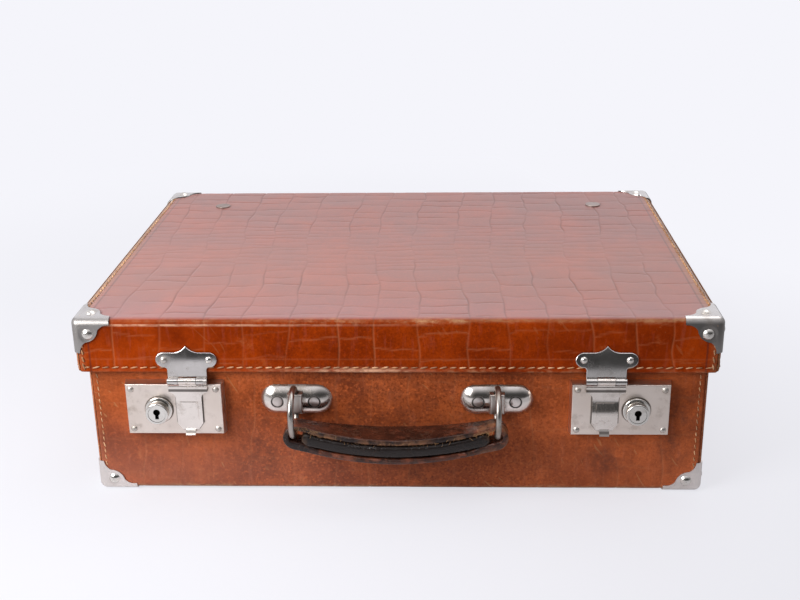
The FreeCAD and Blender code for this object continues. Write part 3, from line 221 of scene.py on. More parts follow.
world = bpy.data.worlds.new("studio")
world.use_nodes = True
scene.world = world
sky = world.node_tree
direction = apart(sky, put(sky, "ShaderNodeTexCoord").outputs["Generated"])
lean = plus(sky, direction["Y"], times(sky, direction["Z"], DOME_UP), times(sky, direction["X"], DOME_ASIDE))
dome = tint(sky, ramp(sky, lean, -0.6, 0.5), DOME_DIM, DOME_BRIGHT)
ray = put(sky, "ShaderNodeLightPath").outputs
lit = tint(sky, ray["Is Glossy Ray"], DOME_EVEN, dome)
feed(sky, sky.nodes["Background"], {"Color": tint(sky, ray["Is Camera Ray"], lit, WALL_WHITE)})
print("dome of light from", DOME_DIM, "to", DOME_BRIGHT)

# %% Lamps
def soft_lamp(name, place, target, width, power):
    """A large square lamp turned towards a point."""
    lamp = bpy.data.objects.new(name, bpy.data.lights.new(name, "AREA"))
    lamp.data.size = width
    lamp.data.energy = power
    lamp.location = place
    lamp.rotation_euler = (Vector(target) - Vector(place)).to_track_quat("-Z", "Y").to_euler()
    scene.collection.objects.link(lamp)


soft_lamp("key_lamp", place=(-0.60, -0.56, 0.56), target=(0.0, -0.08, 0.05), width=0.5, power=8.7)
soft_lamp("top_lamp", place=(0.35, 0.25, 1.4), target=(0.0, 0.0, 0.1), width=1.2, power=7.5)

# %% Floor
FLOOR_RADIUS = 5.0
FLOOR_FILL = 0.72
SIDE_FILL = 0.14
FRONT_DIM = 0.13
RIGHT_DIM = 0.46
FLOOR_COLOUR = (0.84, 0.83, 0.87)
BOUNCE_COLOUR = (0.60, 0.59, 0.60)

table_top, tree, shader, place = finish_start("table_top")
spot = apart(tree, place)
ray = put(tree, "ShaderNodeLightPath").outputs
far = put(tree, "ShaderNodeVectorMath", {0: place}, operation="LENGTH").outputs["Value"]
ground = tint(tree, ray["Is Diffuse Ray"], FLOOR_COLOUR, BOUNCE_COLOUR)
feed(tree, shader, {"Base Color": ground, "Roughness": 0.75})
side_fill = ramp(tree, spot["X"], 0.1, 0.3, 0.0, SIDE_FILL)
white = plus(tree, ramp(tree, far, 0.15, 0.75, FLOOR_FILL, 1.0), side_fill)
seen = times(tree, reckon(tree, "MINIMUM", white, 1.0), ray["Is Camera Ray"])
mirrored = times(tree, ramp(tree, far, 0.16, 0.34), ray["Is Glossy Ray"])
# Painted darker reflection: the floor that the metal mirrors is dimmer towards the right.
right_dim = times(tree, ramp(tree, spot["X"], -0.2, 0.25, 0.0, RIGHT_DIM), ray["Is Glossy Ray"])
# Painted shade: the floor that the camera sees is dimmer towards the front right.
front_dim = times(tree, ramp(tree, spot["Y"], -0.5, 0.3, FRONT_DIM, 0.0), ramp(tree, spot["X"], -0.2, 0.4))
front_dim = times(tree, front_dim, ray["Is Camera Ray"])
strength = minus(tree, 1.0, plus(tree, right_dim, front_dim))
wall = put(tree, "ShaderNodeEmission", {"Color": (*WALL_WHITE, 1.0), "Strength": strength})
both = put(tree, "ShaderNodeMixShader", {0: most(tree, seen, mirrored), 1: shader, 2: wall})
feed(tree, tree.nodes["Material Output"], {"Surface": both})

disc = bmesh.new()
bmesh.ops.create_circle(disc, cap_ends=True, radius=FLOOR_RADIUS, segments=64)
floor_mesh = bpy.data.meshes.new("floor")
disc.to_mesh(floor_mesh)
disc.free()
floor_mesh.materials.append(table_top)
floor = bpy.data.objects.new("floor", floor_mesh)
scene.collection.objects.link(floor)
print("floor radius", FLOOR_RADIUS)

# %% [markdown]
# ## Shared finishes
# The leathers share some marks of age, and so do the metals. Each set is a node group, built once: the
# pores and pull-lines of a hide, the scratches and rubbed patches that handling leaves, and the bloom and
# fine lines of old plating. A group gives out plain values; colours and shaders stay in each material.

# %% Node groups
def group_start(name, inputs, outputs):
    """A shader node group with named sockets; inputs is name to default, outputs is a list."""
    group = bpy.data.node_groups.new(name, "ShaderNodeTree")
    group.interface.new_socket("Vector", in_out="INPUT", socket_type="NodeSocketVector")
    for label, default in inputs.items():
        socket = group.interface.new_socket(label, in_out="INPUT", socket_type="NodeSocketFloat")
        socket.default_value = default
    for label in outputs:
        group.interface.new_socket(label, in_out="OUTPUT", socket_type="NodeSocketFloat")
    return group, put(group, "NodeGroupInput").outputs, put(group, "NodeGroupOutput")


def use_group(tree, group, place, **values):
    """Place a group in a material, with its own values."""
    return put(tree, "ShaderNodeGroup", {"Vector": place, **values}, node_tree=group).outputs


grain, given, result = group_start("hide_grain", {"Pores": 1300.0}, ["Height", "Tone"])
vector = given["Vector"]
pores = put(grain, "ShaderNodeTexVoronoi", {"Vector": vector, "Scale": given["Pores"]}).outputs["Distance"]
feed(grain, result, {
    "Height": plus(grain, times(grain, pores, 0.45), speckle(grain, vector, 260.0, 4.0, 0.6)),
    "Tone": clouds(grain, vector, 16.0, 5.0, 0.6, 0.30, 0.70),
})

handling, given, result = group_start("handling_marks", {"Size": 60.0, "Spread": 0.6}, ["Scratches", "Rubs"])
vector = given["Vector"]
wander = put(handling, "ShaderNodeTexNoise", {"Vector": vector, "Scale": 9.0, "Detail": 2.0}).outputs[1]
bent = put(handling, "ShaderNodeVectorMath", {0: wander, 1: (0.06, 0.06, 0.06)}, operation="MULTIPLY")
bent = put(handling, "ShaderNodeVectorMath", {0: vector, 1: bent}, operation="ADD")
scratch_sets = []
for turn, stretch in ((0.5, (1.0, 1.0, 0.09)), (-0.9, (0.12, 1.0, 1.0))):
    turned = put(handling, "ShaderNodeMapping", {"Vector": bent, "Rotation": (0.0, turn, 0.0)})
    scratch_sets.append(clouds(handling, turned, 420.0, 1.0, 0.4, 0.715, 0.76, stretch=stretch))
some = clouds(handling, vector, 22.0, 2.0, 0.55, 0.44, 0.62)
feed(handling, result, {
    "Scratches": times(handling, most(handling, *scratch_sets), some),
    "Rubs": clouds(handling, vector, given["Size"], 5.0, 0.65, given["Spread"], 0.82),
})

plating, given, result = group_start("plating_age", {"Bloom": 90.0}, ["Tarnish", "Haze", "Lines"])
vector = given["Vector"]
feed(plating, result, {
    "Tarnish": clouds(plating, vector, given["Bloom"], 6.0, 0.68, 0.50, 0.74),
    "Haze": clouds(plating, vector, 35.0, 4.0, 0.55, 0.30, 0.72),
    "Lines": speckle(plating, vector, 900.0, 2.0, 0.5, (1.0, 1.0, 0.05)),
})
print("node groups:", [group.name for group in bpy.data.node_groups])

# %% [markdown]
# ## Case leather
# Both halves are covered with a hide pressed in a crocodile pattern: long creases from front to rear, and
# short cross creases between them. The finish is glossy on the raised scales. The creases of the walls are
# matt and paler, those of the top are dark, and along the edges the glaze is rubbed through to raw tan
# leather. Light is painted in as well: a pale pink sheen, partly real paling by the sun, on the top and on
# the lower left of the base; a highlight along a ridge on the lid's front; and shade on the base under the
# lid and round the handle. The mesh carries seven masks of its own, so the paint follows the real relief
# and not a picture.

# %% Leather colours
MASKS = ("crease", "fold", "faded", "rub", "raw", "ridge", "stain")
TOOLED_RISE = 8.7 * MM
SCUFF = (0.42, 0.17, 0.065)
SCRATCH = (0.46, 0.20, 0.08)
# Pale pink of the top, partly paled by the sun and partly a painted sheen.
TOP_FADE_AND_SHEEN = (0.50, 0.25, 0.215)
FOLD_DARK = (0.060, 0.020, 0.018)
RUBBED_TAN = (0.66, 0.36, 0.19)
RAW_TAN = (0.37, 0.21, 0.105)
# Painted highlight along the ridge on the lid's front; also the pale of worn patches at its hem.
RIDGE_HIGHLIGHT_AND_WEAR = (0.94, 0.57, 0.37)
# Dark of real stains, and of painted shade on the base under the lid and round the handle.
STAIN_AND_SHADE_DARK = (0.055, 0.026, 0.022)
DRAWN_ALONG = (0.45, 1.0, 1.0)
DRAWN_UP = (1.0, 1.0, 0.16)


def glazed_colour(tree, place, aside, hide, marks, look):
    """Colour of the glaze: clouds, streaks, a grain that is strongest in the middle, scuffs and scratches."""
    deep, light, mottle = look["deep"], look["light"], look["mottle"]
    grained = ramp(tree, aside, 0.05, 0.13, look["grain"], 0.45 * look["grain"])
    dots = times(tree, clouds(tree, place, 640.0, 3.0, 0.7, 0.44, 0.66), grained)
    flecks = times(tree, clouds(tree, place, 520.0, 3.0, 0.7, 0.50, 0.70), grained)
    streaks = clouds(tree, place, 330.0, 3.0, 0.6, 0.52, 0.75, 0.4 * mottle, DRAWN_UP)
    return paint(
        tree, tint(tree, hide["Tone"], deep, light),
        (clouds(tree, place, 75.0, 6.0, 0.7, 0.35, 0.75, mottle), shaded(deep, 0.5)),
        (clouds(tree, place, 30.0, 6.0, 0.68, 0.47, 0.68, mottle), shaded(light, 1.25)),
        (streaks, tuple(part + 0.07 for part in light)),
        (dots, shaded(deep, 0.5)),
        (flecks, shaded(light, 1.35)),
        (times(tree, marks["Rubs"], 0.8 * mottle), SCUFF),
        (times(tree, marks["Scratches"], look["scratches"]), SCRATCH))


def worn_colour(tree, place, where, aside, colour, masks, look):
    """Creases, a pale tint of sun and painted sheen, folds, bare edges, a painted highlight on the ridge,
    stains and painted shade over the glaze, and the share where the glaze is gone.
    """
    # Painted sheen, partly real paling by the sun: the top is tinted pale pink, lilac at its front edge and
    # most near the front; the same tint paints the pale lower left of the base.
    bloom_and_sheen = tint(tree, ramp(tree, where["Y"], -0.145, -0.085), look["front_bloom_and_sheen"], TOP_FADE_AND_SHEEN)
    sun_and_sheen_share = ramp(tree, where["Y"], -0.14, 0.14, 0.46, 0.24)
    fold = masks["fold"]
    if look["tooled_line"]:
        line = ramp(tree, off(tree, aside, look["tooled_line"]), 0.25 * MM, 0.9 * MM, 0.9, 0.0)
        fold = most(tree, fold, line)
    patchy = clouds(tree, place, 60.0, 6.0, 0.72, 0.40, 0.64, stretch=DRAWN_ALONG)
    fine = clouds(tree, place, 420.0, 3.0, 0.6, 0.35, 0.65, stretch=DRAWN_ALONG)
    rub = times(tree, masks["rub"], patchy, fine, look["rub"])
    raw = times(tree, masks["raw"], ramp(tree, fine, 0.0, 1.0, 0.55, 1.0))
    # Painted highlight on the ridge, and worn patches at the hem.
    ridge = times(tree, masks["ridge"], clouds(tree, place, 55.0, 5.0, 0.7, 0.22, 0.44))
    colour = paint(
        tree, colour,
        (times(tree, masks["crease"], look["crease"]), look["crease_tone"]),
        (times(tree, masks["faded"], sun_and_sheen_share), bloom_and_sheen),
        (times(tree, fold, 0.56), FOLD_DARK),
        (rub, RUBBED_TAN),
        (raw, RAW_TAN),
        (times(tree, ridge, ramp(tree, fine, 0.0, 1.0, 0.45, 1.0)), RIDGE_HIGHLIGHT_AND_WEAR),
        (times(tree, masks["stain"], clouds(tree, place, 90.0, 6.0, 0.7, 0.36, 0.68)), STAIN_AND_SHADE_DARK))
    return colour, most(tree, rub, raw)


print("masks of a hide:", MASKS)

# %% Leather finish
SHEEN_PINK = (1.0, 0.84, 0.84, 1.0)


def case_leather(name, look):
    """Pressed and glazed hide that follows the masks of its mesh."""
    material, tree, shader, place = finish_start(name)
    where = apart(tree, place)
    aside = reckon(tree, "ABSOLUTE", where["X"])
    hide = use_group(tree, grain, place)
    marks = use_group(tree, handling, place)
    masks = {label: mesh_mask(tree, label) for label in MASKS}
    colour = glazed_colour(tree, place, aside, hide, marks, look)
    colour, bare = worn_colour(tree, place, where, aside, colour, masks, look)
    creased = times(tree, most(tree, masks["crease"], masks["fold"]), 0.75)
    matt = most(tree, bare, creased, times(tree, marks["Rubs"], 0.5))
    faded, wall_gloss, coat = masks["faded"], look["wall_gloss"], look["coat"]
    feed(tree, shader, {
        "Base Color": colour,
        "Roughness": plus(tree, look["gloss"], times(tree, hide["Tone"], 0.10), times(tree, matt, 0.32)),
        "IOR": look["index"],
        "Specular IOR Level": ramp(tree, faded, 0.0, 1.0, wall_gloss, 0.5),
        "Coat Weight": ramp(tree, faded, 0.0, 1.0, wall_gloss * coat, coat),
        "Coat IOR": look["index"],
        "Coat Roughness": 0.34,
        "Sheen Weight": times(tree, faded, 0.45),
        "Sheen Roughness": 0.45,
        "Sheen Tint": SHEEN_PINK,
    })
    height = minus(tree, hide["Height"], times(tree, marks["Scratches"], look["scratches"]))
    raise_surface(tree, shader, height, 0.00012, 0.55)
    return material


# The lid's lilac front tint is a painted reflection at the front edge of its top; on the base the front tint
# is the pale lower left, partly painted sheen.
lid_hide = case_leather("lid_hide", {
    "deep": (0.190, 0.018, 0.001), "light": (0.355, 0.043, 0.002), "crease_tone": (0.48, 0.17, 0.075),
    "front_bloom_and_sheen": (0.50, 0.29, 0.295), "crease": 0.46, "rub": 0.95, "scratches": 0.14, "mottle": 0.42,
    "grain": 0.34, "gloss": 0.34, "wall_gloss": 0.10, "coat": 0.8, "index": 1.18,
    "tooled_line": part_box("lid_leather_right")[1].x - TOOLED_RISE})
base_hide = case_leather("base_hide", {
    "deep": (0.220, 0.039, 0.008), "light": (0.475, 0.106, 0.027), "crease_tone": (0.46, 0.17, 0.075),
    "front_bloom_and_sheen": (0.52, 0.25, 0.20), "crease": 0.30, "rub": 0.85, "scratches": 0.50, "mottle": 0.46,
    "grain": 0.62, "gloss": 0.42, "wall_gloss": 0.18, "coat": 0.2, "index": 1.34, "tooled_line": None})
print("leather finishes:", lid_hide.name, base_hide.name)

# %% [markdown]
# ## The embossed pattern
# A stamped hide could be a bump texture, but its creases would vanish at the outline.
# Here the pattern is a rule that gives a depth at any point of the hide: long creases that sway together,
# and for each column between two of them its own ladder of cross creases. The rule is drawn once for each
# hide from a seeded generator, so it comes out the same on every run.

# %% Pattern draw
FAR = 9.0


def stamp_hide(seed, across, along, pitch, cross_pitch, fine_zone=None):
    """Draw the crease places of one hide between two limits across and along it."""
    rng = np.random.default_rng(seed)
    count = round((across[1] - across[0]) / pitch)
    jitter = rng.uniform(-0.10, 0.10, count - 1)
    places = across[0] + (np.arange(1, count) + jitter) * (across[1] - across[0]) / count
    ladders = []
    for _ in range(count):
        run = along[0] - rng.uniform(0.2, 1.0) * cross_pitch
        ladder = []
        while run < along[1]:
            ladder.append(run)
            fine = fine_zone and fine_zone[0] < run < fine_zone[1]
            run += cross_pitch * rng.uniform(0.70, 1.32) * (0.52 if fine else 1.0)
        ladders.append(ladder)
    cross = np.full((count, max(map(len, ladders))), FAR)
    for column, ladder in enumerate(ladders):
        cross[column, :len(ladder)] = ladder
    depth = rng.uniform(0.50, 1.0, cross.shape)
    start = rng.uniform(-0.8, 0.30, cross.shape)
    end = rng.uniform(0.70, 1.8, cross.shape)
    if fine_zone:
        fine = (cross > fine_zone[0]) & (cross < fine_zone[1])
        depth = np.where(fine, 0.50 * depth, depth)
        start = np.where(fine, start + 0.25, start)
        end = np.where(fine, end - 0.25, end)
    return {
        "across": across,
        "places": places,
        "phase": rng.uniform(0.0, math.tau, count - 1),
        "lean": rng.uniform(0.0, math.tau),
        "sway": rng.uniform(0.055, 0.115, count - 1),
        "cross": cross,
        "tilt": rng.uniform(-3.4, 3.4, cross.shape) * MM,
        "bow": rng.uniform(-1.6, 1.6, cross.shape) * MM,
        "depth": depth,
        "start": start,
        "end": end,
        "fine_zone": fine_zone or (FAR, FAR),
    }


print("cross creases that a column lacks are set", FAR, "m away")

# %% Pattern rule
LONG_WIDTH = 0.52 * MM
CROSS_WIDTH = 0.44 * MM
CROWN_WIDTH = 4.0 * MM
WAVER = 0.5 * MM
DRIFT = 3.8 * MM
DRIFT_LENGTH = 0.31
SWAY = 1.0 * MM
WAVE = 0.42 * MM
WAVE_SHARE = 0.37
END_FADE = 0.12
ZONE_FADE = 0.02


def long_creases(hide, v):
    """Places of the long creases; one row for each distance v along the hide."""
    index = np.arange(len(hide["places"]))
    turn = v[:, None] * math.tau
    drift = DRIFT * np.sin(turn / DRIFT_LENGTH + hide["lean"] + 0.30 * index)
    sway = SWAY * np.sin(turn / hide["sway"] + hide["phase"])
    wave = WAVE * np.sin(turn / (WAVE_SHARE * hide["sway"]) + 2.0 * hide["phase"])
    return hide["places"] + drift + sway + wave


def cross_creases(hide, column, share, v):
    """Distance to the nearest cross crease of a column, and the strength of that crease."""
    share = share[:, :, None]
    curve = hide["cross"][column] + hide["tilt"][column] * (share - 0.5)
    curve = curve + hide["bow"][column] * 4.0 * share * (1.0 - share)
    curve = curve + WAVER * np.sin(share * 11.0 + 60.0 * hide["depth"][column])
    gap = np.abs(v[:, None, None] - curve)
    nearest = gap.argmin(axis=2)[:, :, None]
    strength, start, end = (
        np.take_along_axis(hide[label][column], nearest, axis=2)[:, :, 0]
        for label in ("depth", "start", "end"))
    share = share[:, :, 0]
    begun = np.clip((share - start) / END_FADE, 0.0, 1.0)
    return gap.min(axis=2), strength * begun * np.clip((end - share) / END_FADE, 0.0, 1.0)


def stamp(hide, u, v):
    """Crease mask and scale crown, both 0 to 1, at u across; v has one distance for each row."""
    lines = long_creases(hide, v)
    near_long = np.abs(u[:, :, None] - lines[:, None, :]).min(axis=2)
    column = (u[:, :, None] > lines[:, None, :]).sum(axis=2)
    edge = np.ones((len(v), 1))
    edges = np.concatenate([hide["across"][0] * edge, lines, hide["across"][1] * edge], axis=1)
    left = np.take_along_axis(edges, column, axis=1)
    right = np.take_along_axis(edges, column + 1, axis=1)
    near_cross, strength = cross_creases(hide, column, (u - left) / (right - left), v)
    row = v[:, None]
    zone = hide["fine_zone"]
    within = np.clip(np.minimum(row - zone[0], zone[1] - row) / ZONE_FADE, 0.0, 1.0)
    broken = 0.5 + 0.5 * np.sin(row * 173.0 + 91.0 * u)
    fade = 0.72 + 0.28 * np.sin(row * math.tau / 0.061 + 37.0 * u)
    fade = fade * (1.0 - within * (0.52 + 0.40 * broken))
    patch = 0.75 + 0.25 * np.sin(row * 41.0 + 23.0 * u + hide["lean"]) * np.sin(u * 57.0 - row * 13.0)
    long_mask = fade * np.exp(-(near_long / LONG_WIDTH) ** 2)
    crease = np.maximum(long_mask, strength * np.exp(-(near_cross / CROSS_WIDTH) ** 2)) * patch
    crown = 1.0 - 0.5 * np.exp(-near_long / CROWN_WIDTH) - 0.5 * np.exp(-near_cross / CROWN_WIDTH)
    return crease, crown


print("long creases are", 2.0 * LONG_WIDTH / MM, "mm wide")

# %% [markdown]
# ## The shape of the leather covers
# Each half has three hides: one wrap from the front over the closed face to the rear, and a panel at each
# side. A rounded box is simple to describe as a smaller sharp box, its skeleton, plus one rounding radius
# along the outward direction. Pushing along the same direction presses the creases in. At the open rim the
# hide is turned over a small half circle, which gives the soft lip that one sees on a real case.

# %% Forms of the two halves
GAUGE = 1.8 * MM
EDGE_ROUND = 3.6 * MM
RIM_ROUND = GAUGE / 2.0
LIP = math.pi * RIM_ROUND


def half_form(name, up, tuck):
    """Sizes of one half; up is 1 where its closed face is on top; tuck draws in the rim of its sides."""
    wrap_low, wrap_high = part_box(f"{name}_leather_wrap")
    side_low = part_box(f"{name}_leather_left")[0]
    return {
        "half_x": -side_low.x,
        "half_y": wrap_high.y,
        "seam": wrap_high.x,
        "rim": wrap_low.z if up > 0 else wrap_high.z,
        "height": wrap_high.z - wrap_low.z,
        "up": up,
        "tuck": tuck,
    }


lid_form = half_form("lid", 1, 0.6)
base_form = half_form("base", -1, 0.0)
print("lid half width", round(lid_form["half_x"], 4), "and base half width", round(base_form["half_x"], 4))

# %% Mesh helpers
WELD = 0.002 * MM
SHARP_ANGLE = math.radians(50.0)


def grid_faces(rows, columns):
    """Quads of a grid of points stored row by row."""
    index = np.arange(rows * columns).reshape(rows, columns)
    quads = np.stack([index[:-1, :-1], index[:-1, 1:], index[1:, 1:], index[1:, :-1]], axis=-1)
    return quads.reshape(-1, 4).tolist()


def tube_faces(rows, columns, closed=False):
    """Quads of a tube stored ring by ring; a closed tube joins its last ring to its first."""
    ring = np.arange(rows * columns).reshape(rows, columns)
    beside = np.roll(ring, -1, axis=1)
    quads = np.stack([ring, beside, np.roll(beside, -1, axis=0), np.roll(ring, -1, axis=0)], axis=-1)
    return quads[:rows if closed else -1].reshape(-1, 4).tolist()


def make_piece(name, points, faces, material, body, masks=None):
    """A mesh object from points and faces, with its masks, riding on a body."""
    mesh = bpy.data.meshes.new(name)
    mesh.from_pydata(np.asarray(points).tolist(), [], faces)
    for label, values in (masks or {}).items():
        attribute = mesh.attributes.new(label, "FLOAT", "POINT")
        attribute.data.foreach_set("value", np.asarray(values, dtype=np.float32).ravel())
    shell = bmesh.new()
    shell.from_mesh(mesh)
    bmesh.ops.remove_doubles(shell, verts=shell.verts, dist=WELD)
    bmesh.ops.recalc_face_normals(shell, faces=shell.faces)
    shell.to_mesh(mesh)
    shell.free()
    mesh.shade_smooth()
    mesh.set_sharp_from_angle(angle=SHARP_ANGLE)
    mesh.materials.append(material)
    piece = bpy.data.objects.new(name, mesh)
    scene.collection.objects.link(piece)
    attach(piece, body)
    print(name, len(mesh.vertices), "points", len(mesh.polygons), "faces")
    return piece


def runs(knots, steps):
    """Distances along a line: each run between two knots is cut into steps of about the given length."""
    pieces = []
    for start, end, step in zip(knots[:-1], knots[1:], steps):
        count = max(1, math.ceil((end - start) / step))
        pieces.append(np.linspace(start, end, count, endpoint=False))
    return np.concatenate(pieces + [knots[-1:]])


def groove(distance, width):
    """Soft mask: 1 on a line, falling off over a width."""
    return np.exp(-(distance / width) ** 2)


def share_of(content, whole):
    """Part of a whole, held between 0 and 1."""
    return np.clip(content / whole, 0.0, 1.0)


print("mesh helpers ready")

# %% Form of a wrap
CLOSE_PLACES = np.array([0.0, 0.45, 0.95, 1.7]) * MM


def wrap_frame(form):
    """Distances along a wrap at which its rim lips, walls, rounded edges and closed face begin."""
    wall = form["height"] - EDGE_ROUND - RIM_ROUND
    bend = math.pi / 2.0 * EDGE_ROUND
    flat = 2.0 * (form["half_y"] - EDGE_ROUND)
    return np.cumsum([0.0, LIP, wall, bend, flat, bend, wall, LIP])


def wrap_place(form, x, s, height):
    """Points of a wrap at x and at distances s along it, moved along the outward direction by height."""
    knots = wrap_frame(form)
    depth = form["half_y"] - EDGE_ROUND
    top = form["height"] - EDGE_ROUND
    core_y = np.interp(s, knots, [-depth, -depth, -depth, -depth, depth, depth, depth, depth])[:, None]
    core_z = np.interp(s, knots, [RIM_ROUND, RIM_ROUND, top, top, top, top, RIM_ROUND, RIM_ROUND])[:, None]
    face = np.radians(np.interp(s, knots, [-90, -90, -90, 0, 0, 90, 90, 90]))[:, None]
    roll = np.radians(np.interp(s, knots, [180, 0, 0, 0, 0, 0, 0, 180]))[:, None]
    over = share_of(np.abs(x) - (form["half_x"] - EDGE_ROUND), EDGE_ROUND)
    flat = np.sqrt(1.0 - over ** 2)
    keep = EDGE_ROUND - RIM_ROUND + (RIM_ROUND + height) * np.cos(roll)
    drop = (RIM_ROUND + height) * np.sin(roll)
    px = x - over * np.sign(x) * (EDGE_ROUND - keep)
    py = core_y + flat * np.sin(face) * keep
    pz = core_z + flat * np.cos(face) * keep - drop
    return np.stack([px, py, form["rim"] + form["up"] * pz], axis=-1)


def column_places(edges):
    """Sample places across every column: close together beside its creases, wider in between."""
    left = edges[:, :-1, None]
    right = edges[:, 1:, None]
    inner = np.linspace(0.0, 1.0, 6)[1:-1]
    middle = left + CLOSE_PLACES[-1] + inner * (right - left - 2.0 * CLOSE_PLACES[-1])
    across = np.concatenate([left + CLOSE_PLACES, middle, right - CLOSE_PLACES[:0:-1]], axis=2)
    return np.concatenate([across.reshape(len(edges), -1), edges[:, -1:]], axis=1)


print("the wraps are", [round(wrap_frame(form)[-1], 3) for form in (lid_form, base_form)], "m long")

# %% Making a wrap
CROWN_SHARE = 0.35
WALL_FADE = 8.0
SEAM_DIP = 0.35 * MM


def wrap_faces(rows, columns):
    """Faces of the outer grid of a wrap, and of the flat back, ends and sides that close it."""
    faces = grid_faces(rows, columns)
    first = rows * columns
    for side, column in ((0, 0), (1, columns - 1)):
        ladder = [first + 2 * row + side for row in range(rows - 2)]
        outer_side = [row * columns + column for row in range(rows)]
        faces.append([outer_side[0], outer_side[1], ladder[0]])
        faces.append([outer_side[-1], outer_side[-2], ladder[-1]])
        for row in range(rows - 3):
            faces.append([outer_side[row + 1], outer_side[row + 2], ladder[row + 1], ladder[row]])
    for row in range(rows - 3):
        start = first + 2 * row
        faces.append([start, start + 1, start + 3, start + 2])
    last = first + 2 * (rows - 3)
    faces.append([*range(columns), first + 1, first])
    faces.append([*range((rows - 1) * columns, rows * columns), last + 1, last])
    return faces


def wrap_piece(name, form, hide, material, body, steps, relief, extra):
    """One wrap with its stamped relief; extra adds depth and masks of the half it belongs to."""
    knots = wrap_frame(form)
    s = runs(knots, steps)
    edge = np.full((len(s), 1), form["seam"])
    edges = np.concatenate([-edge, long_creases(hide, s), edge], axis=1)
    x = column_places(edges)
    crease, crown = stamp(hide, x, s)
    wall_share = np.clip(np.interp(s, knots, [0, 0, 1, 1, 1, 1, 0, 0]) * WALL_FADE, 0.0, 1.0)[:, None]
    crease = crease * wall_share
    seam_gap = form["seam"] - np.abs(x)
    height = -relief * (crease + CROWN_SHARE * (1.0 - crown) * wall_share)
    height = height - SEAM_DIP * groove(seam_gap, 0.7 * MM)
    front_bend = np.abs(s - (knots[2] + knots[3]) / 2.0)
    rear_bend = np.abs(s - (knots[4] + knots[5]) / 2.0)
    bends = np.minimum(front_bend, rear_bend)
    rims = np.minimum(s, knots[-1] - s)
    level = np.interp(s, knots, [0, 0, 0, 1, 1, 0, 0, 0])[:, None]
    rubbed = np.maximum(groove(bends - 0.4 * MM, 1.7 * MM), groove(rims - 1.6 * MM, 2.6 * MM))
    bare_seam = share_of(2.6 * MM - seam_gap, 0.6 * MM) * (0.3 + 0.7 * level)
    masks = {
        "crease": crease * (1.0 - level),
        "fold": crease * level,
        "faded": share_of(level - 0.50, 0.30) + 0.0 * x,
        "rub": rubbed[:, None] + 0.0 * x,
        "raw": bare_seam + 0.8 * groove(rims, 1.6 * MM)[:, None],
        "ridge": 0.0 * x,
        "stain": 0.0 * x,
    }
    height = extra(x, wrap_place(form, x, s, 0.0 * x), height, masks)
    outer = wrap_place(form, x, s, height)
    sides = edges[:, [0, -1]]
    inner = wrap_place(form, sides, s, -GAUGE + 0.0 * sides)
    inner[:, :, 0] = sides
    inner = inner[1:-1].reshape(-1, 3)
    points = np.concatenate([outer.reshape(-1, 3), inner])
    masks = {label: np.append(values.ravel(), np.zeros(len(inner))) for label, values in masks.items()}
    piece = make_piece(name, points, wrap_faces(*x.shape), material, body, masks)
    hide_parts(name.replace("_hide", "_leather"))
    return piece


print("a wrap is", GAUGE / MM, "mm thick")

# %% Lid wrap
HEM_RISE = 3.4 * MM
LID_SEAM_INSET = 4.6 * MM
THREAD_CHANNEL = 0.85 * MM
CHANNEL_DEPTH = 0.28 * MM
TOOLED_DEPTH = 0.10 * MM
RIDGE_DROP = 3.9 * MM
RIDGE_STEP = 0.16 * MM
RIDGE_END = 0.04
RIDGE_FADE = 0.15
FRAYED_PLACE = -0.022
FRAYED_SPREAD = 0.030


def lid_extra(x, points, height, masks):
    """Stitch channels, the tooled line, worn front edges, worn patches at the hem, and the ridge on the left
    of the front with a painted highlight along it.
    """
    rise = points[:, :, 2] - lid_form["rim"]
    seam_gap = lid_form["half_x"] - np.abs(x) - LID_SEAM_INSET
    channel = np.maximum(groove(rise - HEM_RISE, THREAD_CHANNEL), groove(seam_gap, THREAD_CHANNEL))
    tooled = groove(rise - TOOLED_RISE, 0.5 * MM)
    masks["crease"] = np.maximum(masks["crease"], 0.35 * tooled)
    middle = 0.14 + 0.86 * groove(points[:, :, 0] - 0.02, 0.085)
    right = share_of(points[:, :, 0] + 0.02, 0.06)
    masks["rub"] = masks["rub"] * np.maximum(middle, 0.5 * right)
    front = points[:, :, 1] < 0.0
    worn_edge = groove(rise - lid_form["height"] + 1.3 * MM, 0.9 * MM) * front
    masks["raw"] = np.maximum(masks["raw"], 0.5 * worn_edge * (0.45 + 0.55 * right))
    below = lid_form["height"] - RIDGE_DROP - rise
    kept = share_of(RIDGE_END - x, RIDGE_FADE) ** 1.5 * front
    frayed = groove(x - FRAYED_PLACE, FRAYED_SPREAD) * groove(rise - 1.1 * MM, 1.5 * MM) * front
    # Painted highlight along the ridge, and real worn patches round the middle of the hem.
    masks["ridge"] = np.maximum(groove(below, 0.45 * MM) * kept, 0.75 * frayed)
    step = RIDGE_STEP * np.clip(0.5 + below / (0.6 * MM), 0.0, 1.0) * kept
    return height - CHANNEL_DEPTH * channel - TOOLED_DEPTH * tooled - step


LID_STEPS = [0.6 * MM, 0.72 * MM, 0.6 * MM, 0.78 * MM, 0.6 * MM, 0.85 * MM, 0.7 * MM]
lid_knots = wrap_frame(lid_form)
lid_stamp = stamp_hide(
    11, across=(-lid_form["seam"], lid_form["seam"]), along=(0.0, lid_knots[-1]), pitch=24.6 * MM,
    cross_pitch=17.5 * MM, fine_zone=(lid_knots[3] + 0.082, lid_knots[3] + 0.178))
lid_wrap = wrap_piece(
    "lid_hide_wrap", lid_form, lid_stamp, lid_hide, "lid", LID_STEPS, relief=0.34 * MM, extra=lid_extra)

